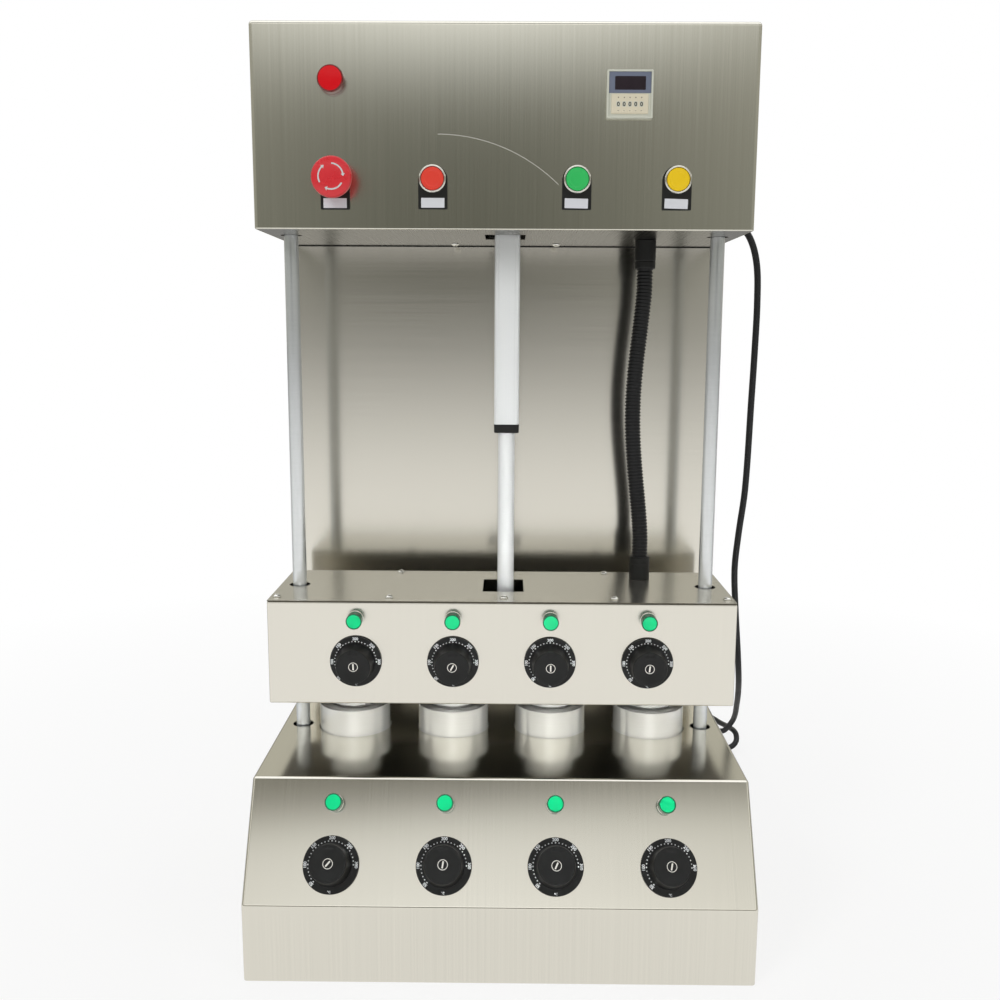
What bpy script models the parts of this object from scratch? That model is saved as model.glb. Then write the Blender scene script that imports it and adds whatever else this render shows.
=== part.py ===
"""Pizza cone machine: four heated moulds in a base, and a carriage of four heated punches that an
electric actuator lifts along two guide columns.

Metres, +Z up. The origin is on the counter, under the middle of the casing. X runs to the machine's right
as the user sees it, and the user stands on the -Y side.
"""

import math

import bmesh
import bpy
from mathutils import Matrix, Vector

# Sheet metal and fits
SHEET = 0.0015
GAP = 0.0003
RUN_GAP = 0.0006
OVERRUN = 0.010
ROUND_SIDES = 20
SMALL_SIDES = 16
TINY_SIDES = 12
SHARP_ANGLE = math.radians(35)
ROUTE_PARTS = 20

# Heights, from the counter upwards
DECK_Z = 0.191
CREASE_SHARE = 0.42932
MOULD_RISE = 0.0304
CARRIAGE_CLEARANCE = 0.0221
CARRIAGE_HEIGHT = 0.1175
TRAVEL_SPACE = 0.396
TOP_BOX_HEIGHT = 0.205

# Widths and depths, with depths counted from the base's front edge
PANEL_WIDTH = 0.526
BASE_SIDE_INSET = 0.003
CARRIAGE_SIDE_INSET = 0.005
TOP_BOX_SIDE_INSET = 0.004
SLOPE_DEPTH = 0.0645
HEAD_SETBACK = 0.142
CARRIAGE_DEPTH = 0.150
AXIS_SETBACK = 0.218
HOSE_SETBACK = 0.261
PANEL_SETBACK = 0.350
PANEL_FLANGE = 0.012
PANEL_FOOT = 0.003
COVER_DEPTH = 0.0042
COVER_SHEET = 0.0012
OVERALL_DEPTH = PANEL_SETBACK + SHEET + GAP + COVER_DEPTH

# Guide columns and the holes that they pass through
COLUMN_SIDE_INSET = 0.027
COLUMN_RADIUS = 0.008
COLUMN_HOLE_RADIUS = 0.01175
SOCKET_RADIUS = 0.016
SOCKET_HEIGHT = 0.020
COLUMN_NUT_RADIUS = 0.013
COLUMN_NUT_HEIGHT = 0.010
COLUMN_STUB = 0.004
FLOOR_THICKNESS = 0.002

# Lower moulds, as turned blocks on pedestals
MOULD_OUTER_SHARE = 0.73517
MOULD_INNER_SHARE = 0.32968
MOULD_RADIUS_SHARE = 0.36277
MOULD_HEIGHT = 0.1294
MOULD_HOLE_GAP = 0.001
PEDESTAL_FOOT_RADIUS = 0.030
PEDESTAL_FOOT_HEIGHT = 0.006
PEDESTAL_RADIUS = 0.016
MOUTH_RADIUS = 0.0275
MOUTH_DEPTH = 0.014
CAVITY_TIP_RADIUS = 0.008
CAVITY_FLOOR = 0.009
DOUGH_GAP = 0.005

# Punches
PUNCH_RADIUS = 0.027
PUNCH_TIP_RADIUS = 0.004
PUNCH_TIP_SPACE = 0.006
PUNCH_INSERTION = 0.008
PUNCH_HOLE_GAP = 0.0007
SPIGOT_RADIUS = 0.010
SPIGOT_NUT_RADIUS = 0.015
SPIGOT_NUT_HEIGHT = 0.008

# Punch plate, its bearing housings and its clevis
PLATE_THICKNESS = 0.008
PLATE_HALF_DEPTH = 0.042
HOUSING_RADIUS = 0.016
HOUSING_HEIGHT = 0.045
EYE_HALF_WIDTH = 0.008
EYE_HALF_DEPTH = 0.009
EYE_LENGTH = 0.030
EYE_CLEARANCE = 0.004
EAR_THICKNESS = 0.005
EAR_HALF_DEPTH = 0.012
EAR_HEIGHT = 0.033
PIN_RADIUS = 0.004
PIN_OVERHANG = 0.002

# Actuator
ACTUATOR_X = 0.0038
TUBE_WIDTH = 0.028
TUBE_DEPTH = 0.026
TUBE_CHAMFER = 0.0035
TUBE_BORE_RADIUS = 0.0104
COLLAR_WIDTH = 0.0285
COLLAR_HEIGHT = 0.0095
ROD_RADIUS = 0.0095
ROD_ENGAGEMENT = 0.030
TUBE_CLOSED_END = 0.014
COLLAR_DROP = 0.2168
GEARBOX_WIDTH = 0.052
GEARBOX_DEPTH = 0.042
GEARBOX_HEIGHT = 0.032
MOTOR_RADIUS = 0.018
MOTOR_HEADROOM = 0.0222

# Openings for the actuator in the lid and in the control box's floor
LID_OPENING_WIDTH = 0.0465
LID_OPENING_X = 0.00125
LID_OPENING_SETBACK = 0.189
LID_OPENING_DEPTH = 0.060
FLOOR_OPENING_WIDTH = 0.0446
FLOOR_OPENING_SETBACK = 0.200
FLOOR_OPENING_DEPTH = 0.060

# Crosshead
CROSSHEAD_RISE_SHARE = 0.43415
CROSSHEAD_THICKNESS = 0.008
CROSSHEAD_HALF_DEPTH = 0.020
CROSSHEAD_END_GAP = 0.0055
LEG_INSET = 0.023
LEG_THICKNESS = 0.006

# Dials, counted outwards from the panel that they stand on
DIAL_CLEARANCE = 0.0008
DIAL_RADIUS = 0.0285
SKIRT_THICKNESS = 0.0026
CUP_BASE_RADIUS = 0.0212
CUP_TOP_RADIUS = 0.0185
DIAL_HEIGHT = 0.0245
SPINDLE_RADIUS = 0.003
SPINDLE_LENGTH = 0.016
SPINDLE_HOLE_RADIUS = 0.005
SCOOP_WIDTH = 0.010
SCOOP_RADIUS = 0.004

# Thermostats
THERMOSTAT_RADIUS = 0.020
THERMOSTAT_DEPTH = 0.022
STRIP_HEIGHT = 0.018
STRIP_THICKNESS = 0.002

# Control rows
BASE_CONTROL_INNER_SHARE = 0.10923
BASE_CONTROL_OUTER_SHARE = 0.3300
BASE_DIAL_RISE = 0.0399
BASE_LAMP_RISE = 0.1004
CARRIAGE_CONTROL_INNER_SHARE = 0.10368
CARRIAGE_CONTROL_OUTER_SHARE = 0.31163
CARRIAGE_DIAL_RISE_SHARE = 0.42128
CARRIAGE_LAMP_RISE_SHARE = 0.82979

# Small lamps, counted outwards from the panel
LAMP_NECK_RADIUS = 0.006
LAMP_HOLE_RADIUS = 0.0064
LAMP_RADIUS = 0.0090
LAMP_HEIGHT = 0.015
LAMP_TAIL = 0.024
LAMP_NUT_RADIUS = 0.009
LAMP_NUT_HEIGHT = 0.004

# Controls of the control box, with their places on it as shares of its width and of its height
POWER_LAMP_SHARE = -0.3390
POWER_LAMP_RISE_SHARE = 0.71610
POWER_LAMP_RADIUS = 0.0135
POWER_LAMP_HEIGHT = 0.012
STOP_SHARE = -0.3359
STOP_RISE_SHARE = 0.24049
RISE_SHARE = -0.1415
DOWN_SHARE = 0.1444
YELLOW_SHARE = 0.34286
BUTTON_RISE_SHARE = 0.24390
BUTTON_HOLE_RADIUS = 0.0113
BUTTON_NECK_RADIUS = 0.0108
BEZEL_RADIUS = 0.0139
BEZEL_HEIGHT = 0.0098
POCKET_RADIUS = 0.0120
POCKET_DEPTH = 0.0070
CAP_RADIUS = 0.0114
CAP_THICKNESS = 0.0036
CAP_STEM_RADIUS = 0.0040
CAP_STEM_LENGTH = 0.014
BUTTON_TRAVEL = 0.0025
CONTACT_RADIUS = 0.014
CONTACT_LENGTH = 0.042
BUTTON_NUT_RADIUS = 0.0145
BUTTON_NUT_HEIGHT = 0.005
LEGEND_HALF_WIDTH = 0.015
LEGEND_DROP = 0.0297
LEGEND_THICKNESS = 0.0015
STOP_BEZEL_RADIUS = 0.0150
STOP_BEZEL_HEIGHT = 0.0085
STOP_HEAD_RADIUS = 0.02075
STOP_HEAD_HEIGHT = 0.028
STOP_HEAD_THICKNESS = 0.014
STOP_RIM_THICKNESS = 0.005
STOP_CROWN_RADIUS = 0.0150
STOP_STEM_RADIUS = 0.008
STOP_STEM_LENGTH = 0.022
STOP_PIVOT_RADIUS = 0.005
STOP_PIVOT_LENGTH = 0.006
STOP_TRAVEL = 0.004

# Timer
TIMER_SHARE = 0.2446
TIMER_RISE_SHARE = 0.65220
TIMER_FACE = 0.048
TIMER_BODY = 0.0445
TIMER_PROUD = 0.006
TIMER_BODY_DEPTH = 0.076
TIMER_CUTOUT_GAP = 0.0006

# Ribbed hose and its fittings
HOSE_TOP_SHARE = 0.31274
HOSE_BOTTOM_SHARE = 0.3188
HOSE_BOW = 0.0112
HOSE_RADIUS = 0.009
HOSE_VALLEY_RADIUS = 0.0080
HOSE_BORE_RADIUS = 0.0066
HOSE_PITCH = 0.0039
HOSE_BORE_STEP = 0.0156
HOSE_BOW_SHARPNESS = 1.5
FITTING_RADIUS = 0.012
FITTING_DROP = 0.032
FITTING_RISE = 0.027
FITTING_NECK_RADIUS = 0.009
FITTING_HOLE_RADIUS = 0.0094
FITTING_BORE_RADIUS = 0.0062
FITTING_NUT_RADIUS = 0.013
FITTING_NUT_HEIGHT = 0.005
FITTING_STUB = 0.003

# Rear openings and covers
REAR_OPENING_HEIGHT = 0.090
BASE_OPENING_SHARE = 0.5769
TOP_OPENING_SHARE = 0.65637
COVER_OVERLAP = 0.020
BASE_COVER_RISE_SHARE = 0.49738
TOP_COVER_RISE_SHARE = 0.54146
LOUVRE_COUNT = 7
LOUVRE_LENGTH_SHARE = 0.8
LOUVRE_PITCH = 0.012
LOUVRE_HEIGHT = 0.004

# Supply cord, its gland and its plug
GLAND_SIDE_INSET = 0.028
GLAND_RISE_SHARE = 0.42927
GLAND_NECK_RADIUS = 0.008
GLAND_HOLE_RADIUS = 0.0084
GLAND_NUT_RADIUS = 0.011
GLAND_NUT_HEIGHT = 0.005
GLAND_HEAD_RADIUS = 0.012
GLAND_HEAD_HEIGHT = 0.007
GLAND_DOME_RADIUS = 0.0085
GLAND_LENGTH = 0.0195
CORD_RADIUS = 0.00425
CORD_STEP = 0.0256
PLUG_LENGTH = 0.045
PLUG_TAIL_RADIUS = 0.008
PLUG_TAIL_LENGTH = 0.018
PLUG_HALF_WIDTH = 0.018
PLUG_HALF_HEIGHT = 0.0115
PLUG_CHAMFER = 0.005
BLADE_LENGTH = 0.018
BLADE_WIDTH = 0.0062
BLADE_THICKNESS = 0.0016
BLADE_SPREAD = 0.0105

# The cord's way down behind the machine: distance to the right of the gland and depth behind the base's
# front, and each point's height as a share of the gland's
CORD_DROP = (
    (0.0000, 0.3713),
    (0.0000, 0.3980),
    (0.0040, 0.4130),
    (0.0170, 0.4230),
    (0.0380, 0.4250),
    (0.0620, 0.4210),
    (0.0800, 0.4150),
    (0.0905, 0.4150),
    (0.0934, 0.4150),
    (0.0928, 0.4150),
    (0.0912, 0.4150),
    (0.0879, 0.4150),
    (0.0815, 0.4150),
    (0.0783, 0.4150),
    (0.0820, 0.4150),
    (0.0898, 0.4240),
    (0.1030, 0.4700),
)
CORD_DROP_HEIGHT_SHARES = (
    1.0, 1.0, 0.99645, 0.98462, 0.96450, 0.94201,
    0.91716, 0.87846, 0.82178, 0.74556, 0.66970, 0.53053,
    0.45562, 0.39917, 0.33136, 0.25314, 0.18580,
)

# The cord's way across the counter to the plug, with heights above the counter
CORD_LAY = (
    (0.1220, 0.5600, 0.0920),
    (0.1335, 0.6281, 0.0450),
    (0.1292, 0.6535, 0.0200),
    (0.1242, 0.6658, 0.0100),
    (0.1100, 0.6840, 0.0062),
    (0.0850, 0.6970, 0.0049),
    (0.0550, 0.7040, 0.0045),
    (0.0200, 0.7060, 0.0044),
    (-0.0161, 0.7080, 0.0044),
    (-0.0478, 0.7310, 0.0044),
    (-0.0438, 0.7750, 0.0044),
    (0.0020, 0.8020, 0.0044),
    (0.0630, 0.7950, 0.0044),
    (0.1010, 0.7710, 0.0044),
    (0.1210, 0.7430, 0.0045),
    (0.1310, 0.7161, 0.0052),
    (0.1387, 0.6842, 0.0100),
    (0.1381, 0.6287, 0.0210),
    (0.1356, 0.6114, 0.0150),
    (0.1273, 0.6039, 0.0090),
    (0.1030, 0.5920, 0.0058),
    (0.0750, 0.5840, 0.0047),
    (0.0350, 0.5740, 0.0044),
    (-0.0150, 0.5640, 0.0044),
    (-0.0750, 0.5570, 0.0044),
    (-0.1250, 0.5540, 0.0060),
    (-0.1500, 0.5530, 0.0098),
    (-0.1700, 0.5525, 0.0119),
    (-0.1870, 0.5525, 0.0120),
)

# Colours (linear), roughness and metallic share of each material
MATERIALS = {
    "brushed_steel": ((0.60, 0.59, 0.55), 0.32, 1.0),
    "dark_steel": ((0.30, 0.30, 0.28), 0.40, 1.0),
    "aluminium": ((0.72, 0.72, 0.71), 0.30, 1.0),
    "chromed_steel": ((0.66, 0.68, 0.71), 0.14, 1.0),
    "black_plastic": ((0.015, 0.015, 0.016), 0.45, 0.0),
    "hose_black": ((0.012, 0.012, 0.013), 0.50, 0.0),
    "green_lens": ((0.01, 0.58, 0.30), 0.20, 0.0),
    "red_lens": ((0.62, 0.01, 0.015), 0.20, 0.0),
    "red_plastic": ((0.74, 0.06, 0.05), 0.35, 0.0),
    "green_plastic": ((0.06, 0.58, 0.17), 0.35, 0.0),
    "yellow_plastic": ((0.90, 0.62, 0.01), 0.35, 0.0),
    "cream_plastic": ((0.62, 0.58, 0.48), 0.45, 0.0),
    "cord_black": ((0.02, 0.02, 0.021), 0.50, 0.0),
}

CREASE_Z = CREASE_SHARE * DECK_Z
MOULD_TOP_Z = DECK_Z + MOULD_RISE
CARRIAGE_BOTTOM_Z = MOULD_TOP_Z + CARRIAGE_CLEARANCE
CARRIAGE_TOP_Z = CARRIAGE_BOTTOM_Z + CARRIAGE_HEIGHT
TOP_BOX_BOTTOM_Z = CARRIAGE_TOP_Z + TRAVEL_SPACE
TOP_BOX_TOP_Z = TOP_BOX_BOTTOM_Z + TOP_BOX_HEIGHT
MOULD_BOTTOM_Z = MOULD_TOP_Z - MOULD_HEIGHT
CAVITY_TIP_Z = MOULD_BOTTOM_Z + CAVITY_FLOOR
PUNCH_TIP_Z = CAVITY_TIP_Z + PUNCH_TIP_SPACE
COLLAR_BOTTOM_Z = TOP_BOX_BOTTOM_Z - COLLAR_DROP
CROSSHEAD_Z = TOP_BOX_BOTTOM_Z + CROSSHEAD_RISE_SHARE * TOP_BOX_HEIGHT
CARRIAGE_DIAL_Z = CARRIAGE_BOTTOM_Z + CARRIAGE_DIAL_RISE_SHARE * CARRIAGE_HEIGHT
CARRIAGE_LAMP_Z = CARRIAGE_BOTTOM_Z + CARRIAGE_LAMP_RISE_SHARE * CARRIAGE_HEIGHT
POWER_LAMP_Z = TOP_BOX_BOTTOM_Z + POWER_LAMP_RISE_SHARE * TOP_BOX_HEIGHT
STOP_Z = TOP_BOX_BOTTOM_Z + STOP_RISE_SHARE * TOP_BOX_HEIGHT
BUTTON_Z = TOP_BOX_BOTTOM_Z + BUTTON_RISE_SHARE * TOP_BOX_HEIGHT
TIMER_Z = TOP_BOX_BOTTOM_Z + TIMER_RISE_SHARE * TOP_BOX_HEIGHT
TOP_COVER_Z = TOP_BOX_BOTTOM_Z + TOP_COVER_RISE_SHARE * TOP_BOX_HEIGHT
GLAND_Z = TOP_BOX_BOTTOM_Z + GLAND_RISE_SHARE * TOP_BOX_HEIGHT
BASE_COVER_Z = BASE_COVER_RISE_SHARE * DECK_Z
FITTING_TOP_Z = TOP_BOX_BOTTOM_Z - FITTING_DROP
FITTING_BOTTOM_Z = CARRIAGE_TOP_Z + FITTING_RISE
BASE_WIDTH = PANEL_WIDTH - 2 * BASE_SIDE_INSET
CARRIAGE_WIDTH = PANEL_WIDTH - 2 * CARRIAGE_SIDE_INSET
TOP_BOX_WIDTH = PANEL_WIDTH - 2 * TOP_BOX_SIDE_INSET
COLUMN_X = PANEL_WIDTH / 2 - COLUMN_SIDE_INSET
MOULD_OUTER_X = MOULD_OUTER_SHARE * COLUMN_X
MOULD_INNER_X = MOULD_INNER_SHARE * MOULD_OUTER_X
MOULD_RADIUS = MOULD_RADIUS_SHARE * 2 * MOULD_INNER_X
BASE_CONTROL_INNER_X = BASE_CONTROL_INNER_SHARE * BASE_WIDTH
BASE_CONTROL_OUTER_X = BASE_CONTROL_OUTER_SHARE * BASE_WIDTH
CARRIAGE_CONTROL_INNER_X = CARRIAGE_CONTROL_INNER_SHARE * CARRIAGE_WIDTH
CARRIAGE_CONTROL_OUTER_X = CARRIAGE_CONTROL_OUTER_SHARE * CARRIAGE_WIDTH
CROSSHEAD_HALF_WIDTH = TOP_BOX_WIDTH / 2 - SHEET - CROSSHEAD_END_GAP
LEG_X = COLUMN_X - LEG_INSET
POWER_LAMP_X = POWER_LAMP_SHARE * TOP_BOX_WIDTH
STOP_X = STOP_SHARE * TOP_BOX_WIDTH
TIMER_X = TIMER_SHARE * TOP_BOX_WIDTH
HOSE_TOP_X = HOSE_TOP_SHARE * TOP_BOX_WIDTH
HOSE_BOTTOM_X = HOSE_BOTTOM_SHARE * CARRIAGE_WIDTH
BASE_OPENING_WIDTH = BASE_OPENING_SHARE * BASE_WIDTH
TOP_OPENING_WIDTH = TOP_OPENING_SHARE * TOP_BOX_WIDTH
GLAND_X = PANEL_WIDTH / 2 - GLAND_SIDE_INSET
FRONT_Y = -OVERALL_DEPTH / 2
HEAD_Y = FRONT_Y + HEAD_SETBACK
AXIS_Y = FRONT_Y + AXIS_SETBACK
HOSE_Y = FRONT_Y + HOSE_SETBACK
PANEL_Y = FRONT_Y + PANEL_SETBACK
CARRIAGE_BACK_Y = HEAD_Y + CARRIAGE_DEPTH
SLOPE_RISE = DECK_Z - CREASE_Z
SLOPE_LENGTH = math.hypot(SLOPE_DEPTH, SLOPE_RISE)
SLOPE_TILT = math.atan2(SLOPE_RISE, SLOPE_DEPTH)
UPRIGHT_TILT = math.pi / 2
LID_BOTTOM_Z = CARRIAGE_TOP_Z - SHEET
BOX_FLOOR_Z = TOP_BOX_BOTTOM_Z + GAP
PLATE_BOTTOM_Z = CARRIAGE_BOTTOM_Z + SHEET + GAP
PLATE_TOP_Z = PLATE_BOTTOM_Z + PLATE_THICKNESS
CROSSHEAD_TOP_Z = CROSSHEAD_Z + CROSSHEAD_THICKNESS
TUBE_BOTTOM_Z = COLLAR_BOTTOM_Z + COLLAR_HEIGHT + GAP
MOULD_X = (-MOULD_OUTER_X, -MOULD_INNER_X, MOULD_INNER_X, MOULD_OUTER_X)
BASE_CONTROL_X = (-BASE_CONTROL_OUTER_X, -BASE_CONTROL_INNER_X, BASE_CONTROL_INNER_X, BASE_CONTROL_OUTER_X)
CARRIAGE_CONTROL_X = (
    -CARRIAGE_CONTROL_OUTER_X,
    -CARRIAGE_CONTROL_INNER_X,
    CARRIAGE_CONTROL_INNER_X,
    CARRIAGE_CONTROL_OUTER_X,
)
PUSH_BUTTON_X = {
    "rise": RISE_SHARE * TOP_BOX_WIDTH,
    "down": DOWN_SHARE * TOP_BOX_WIDTH,
    "yellow": YELLOW_SHARE * TOP_BOX_WIDTH,
}


def clear_scene():
    """Removes whatever the opened scene holds."""
    for old in list(bpy.data.objects):
        bpy.data.objects.remove(old, do_unlink=True)


def material(name):
    """Returns the named material, made on first use."""
    found = bpy.data.materials.get(name)
    if found:
        return found
    colour, roughness, metallic = MATERIALS[name]
    made = bpy.data.materials.new(name)
    made.use_nodes = True
    made.diffuse_color = (*colour, 1.0)
    surface = made.node_tree.nodes["Principled BSDF"]
    surface.inputs["Base Color"].default_value = (*colour, 1.0)
    surface.inputs["Roughness"].default_value = roughness
    surface.inputs["Metallic"].default_value = metallic
    return made


def add_block(bm, low, high):
    """Adds a rectangular block between two corners."""
    low, high = Vector(low), Vector(high)
    size = Matrix.Diagonal((*(high - low), 1.0))
    bmesh.ops.create_cube(bm, size=1.0, matrix=Matrix.Translation((low + high) / 2) @ size)


def add_rod(bm, radius, start, end, sides=ROUND_SIDES):
    """Adds a round rod from one point to another."""
    start, end = Vector(start), Vector(end)
    run = end - start
    turn = run.to_track_quat("Z", "Y").to_matrix().to_4x4()
    place = Matrix.Translation((start + end) / 2) @ turn
    bmesh.ops.create_cone(
        bm, cap_ends=True, segments=sides, radius1=radius, radius2=radius, depth=run.length, matrix=place
    )


def add_turned(bm, profile, sides=ROUND_SIDES, ring=False):
    """Adds a body turned about Z from (radius, height) points; a ring's profile closes on itself."""
    loops = []
    for radius, height in profile:
        if radius == 0:
            loops.append([bm.verts.new((0, 0, height))])
            continue
        angles = [2 * math.pi * side / sides for side in range(sides)]
        loops.append([bm.verts.new((radius * math.cos(a), radius * math.sin(a), height)) for a in angles])
    pairs = list(zip(loops, loops[1:]))
    if ring:
        pairs.append((loops[-1], loops[0]))
    for lower, upper in pairs:
        for side in range(sides):
            after = (side + 1) % sides
            if len(lower) == 1:
                bm.faces.new((lower[0], upper[after], upper[side]))
            elif len(upper) == 1:
                bm.faces.new((lower[side], lower[after], upper[0]))
            else:
                bm.faces.new((lower[side], lower[after], upper[after], upper[side]))


def add_prism(bm, outline, offset):
    """Adds a closed outline of 3D points, extruded by an offset."""
    face = bm.faces.new([bm.verts.new(point) for point in outline])
    extruded = bmesh.ops.extrude_face_region(bm, geom=[face])["geom"]
    far = [item for item in extruded if isinstance(item, bmesh.types.BMVert)]
    bmesh.ops.translate(bm, vec=Vector(offset), verts=far)


def shape(build, *arguments, **settings):
    """Returns a fresh bmesh holding one shape."""
    bm = bmesh.new()
    build(bm, *arguments, **settings)
    return bm


def place_object(name, bm, location, tilt, parent):
    """Turns a bmesh into an object with its faces pointing outwards."""
    bmesh.ops.recalc_face_normals(bm, faces=bm.faces)
    mesh = bpy.data.meshes.new(name)
    bm.to_mesh(mesh)
    bm.free()
    mesh.shade_smooth()
    mesh.set_sharp_from_angle(angle=SHARP_ANGLE)
    made = bpy.data.objects.new(name, mesh)
    made.location = location
    made.rotation_euler = (tilt, 0, 0)
    made.parent = parent
    bpy.context.collection.objects.link(made)
    return made


def piece(name, bm, material_name, location=(0, 0, 0), tilt=0, parent=None):
    """Makes one sub-part of the machine."""
    made = place_object(name, bm, location, tilt, parent)
    made.data.materials.append(material(material_name))
    return made


def shaped(target, operation, bm, location=(0, 0, 0), tilt=0, parent=None):
    """Cuts a helper shape out of a piece, or joins it on."""
    helper = place_object(f"{target.name}.{operation.lower()}", bm, location, tilt, parent)
    helper.hide_render = True
    helper.display_type = "WIRE"
    step = target.modifiers.new(operation.title(), "BOOLEAN")
    step.operation = operation
    step.solver = "EXACT"
    step.object = helper


def frame_empty(name, location):
    """Makes an empty that carries pieces which move together."""
    made = bpy.data.objects.new(name, None)
    made.location = location
    bpy.context.collection.objects.link(made)
    return made


def inset(outline, distance):
    """Moves each side of a closed (depth, height) outline inwards by a distance."""
    count = len(outline)
    points = [Vector(point) for point in outline]
    area = sum(a.x * b.y - b.x * a.y for a, b in zip(points, points[1:] + points[:1]))
    side = math.copysign(1, area)
    normals = []
    for index in range(count):
        run = (points[(index + 1) % count] - points[index]).normalized()
        normals.append(Vector((-run.y, run.x)) * side)
    moved = []
    for index, point in enumerate(points):
        before, after = normals[index - 1], normals[index]
        moved.append(point + (before + after) * distance / (1 + before.dot(after)))
    return moved


def slope_point(x, rise):
    """Returns the point of the sloped face at a distance up from its lower crease."""
    depth = SLOPE_DEPTH * rise / SLOPE_LENGTH
    height = SLOPE_RISE * rise / SLOPE_LENGTH
    return Vector((x, FRONT_Y + depth, CREASE_Z + height))


def head_point(x, z):
    """Returns a point on the front faces of the carriage and the control box."""
    return Vector((x, HEAD_Y, z))


def panel_rods(bm, places, radius, tilt):
    """Adds cutting rods square through a panel at each place."""
    out = Vector((0, -math.sin(tilt), math.cos(tilt))) * OVERRUN
    for point in places:
        add_rod(bm, radius, point - out, point + out, TINY_SIDES)


def sockets_for_columns(bm, radius, start, end):
    """Adds an upright rod at each guide column."""
    for x in (-COLUMN_X, COLUMN_X):
        add_rod(bm, radius, (x, AXIS_Y, start), (x, AXIS_Y, end), TINY_SIDES)


def base_casing():
    """Folded casing of the base: pentagon in side view, open below and behind."""
    back = PANEL_SETBACK - GAP
    outer = [(0, 0), (back, 0), (back, DECK_Z), (SLOPE_DEPTH, DECK_Z), (0, CREASE_Z)]
    below = -OVERRUN - SHEET
    behind = back + OVERRUN + SHEET
    open_outline = [(0, below), (behind, below), (behind, DECK_Z), (SLOPE_DEPTH, DECK_Z), (0, CREASE_Z)]
    half = BASE_WIDTH / 2
    walls = [(-half, FRONT_Y + depth, height) for depth, height in outer]
    casing = piece("base_shell", shape(add_prism, walls, (BASE_WIDTH, 0, 0)), "brushed_steel")
    hollow = [(SHEET - half, FRONT_Y + depth, height) for depth, height in inset(open_outline, SHEET)]
    shaped(casing, "DIFFERENCE", shape(add_prism, hollow, (BASE_WIDTH - 2 * SHEET, 0, 0)))
    holes = bmesh.new()
    top, bottom = DECK_Z + OVERRUN, DECK_Z - OVERRUN
    for x in MOULD_X:
        add_rod(holes, MOULD_RADIUS + MOULD_HOLE_GAP, (x, AXIS_Y, bottom), (x, AXIS_Y, top))
    sockets_for_columns(holes, COLUMN_HOLE_RADIUS, bottom, top)
    dial_places = [slope_point(x, BASE_DIAL_RISE) for x in BASE_CONTROL_X]
    lamp_places = [slope_point(x, BASE_LAMP_RISE) for x in BASE_CONTROL_X]
    panel_rods(holes, dial_places, SPINDLE_HOLE_RADIUS, SLOPE_TILT)
    panel_rods(holes, lamp_places, LAMP_HOLE_RADIUS, SLOPE_TILT)
    shaped(casing, "DIFFERENCE", holes)


def base_floor():
    """Floor of the base with the sockets that the columns stand in."""
    half = BASE_WIDTH / 2 - SHEET - GAP
    low = (-half, FRONT_Y + SHEET + GAP, 0)
    high = (half, PANEL_Y - 2 * GAP, FLOOR_THICKNESS)
    floor = piece("base_floor_plate", shape(add_block, low, high), "dark_steel")
    socket_top = FLOOR_THICKNESS + SOCKET_HEIGHT
    shaped(floor, "UNION", shape(sockets_for_columns, SOCKET_RADIUS, FLOOR_THICKNESS / 2, socket_top))
    bore = COLUMN_RADIUS + GAP
    shaped(floor, "DIFFERENCE", shape(sockets_for_columns, bore, FLOOR_THICKNESS, socket_top + OVERRUN))


def lower_moulds():
    """Mould blocks: pedestal, block and the conical cavity that shapes the outside of a cone."""
    foot = FLOOR_THICKNESS + GAP
    profile = [
        (0, foot),
        (PEDESTAL_FOOT_RADIUS, foot),
        (PEDESTAL_FOOT_RADIUS, foot + PEDESTAL_FOOT_HEIGHT),
        (PEDESTAL_RADIUS, foot + PEDESTAL_FOOT_HEIGHT),
        (PEDESTAL_RADIUS, MOULD_BOTTOM_Z),
        (MOULD_RADIUS, MOULD_BOTTOM_Z),
        (MOULD_RADIUS, MOULD_TOP_Z),
        (MOUTH_RADIUS, MOULD_TOP_Z),
        (MOUTH_RADIUS, MOULD_TOP_Z - MOUTH_DEPTH),
        (CAVITY_TIP_RADIUS, CAVITY_TIP_Z),
        (0, CAVITY_TIP_Z),
    ]
    for number, x in enumerate(MOULD_X, start=1):
        piece(f"lower_mould_{number}", shape(add_turned, profile), "aluminium", (x, AXIS_Y, 0))


def punches(carriage):
    """Heated punches: cylinder, shoulder, cone and the nut that clamps each to the punch plate."""
    cone_top = MOULD_TOP_Z - PUNCH_INSERTION
    top = PLATE_BOTTOM_Z - GAP
    nut = PLATE_TOP_Z + GAP
    profile = [
        (0, PUNCH_TIP_Z),
        (PUNCH_TIP_RADIUS, PUNCH_TIP_Z),
        (MOUTH_RADIUS - DOUGH_GAP, cone_top),
        (PUNCH_RADIUS, cone_top),
        (PUNCH_RADIUS, top),
        (SPIGOT_RADIUS, top),
        (SPIGOT_RADIUS, nut),
        (SPIGOT_NUT_RADIUS, nut),
        (SPIGOT_NUT_RADIUS, nut + SPIGOT_NUT_HEIGHT),
        (0, nut + SPIGOT_NUT_HEIGHT),
    ]
    for number, x in enumerate(MOULD_X, start=1):
        local = Vector((x, AXIS_Y, 0)) - carriage.location
        piece(f"upper_mould_{number}", shape(add_turned, profile), "aluminium", local, parent=carriage)


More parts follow.
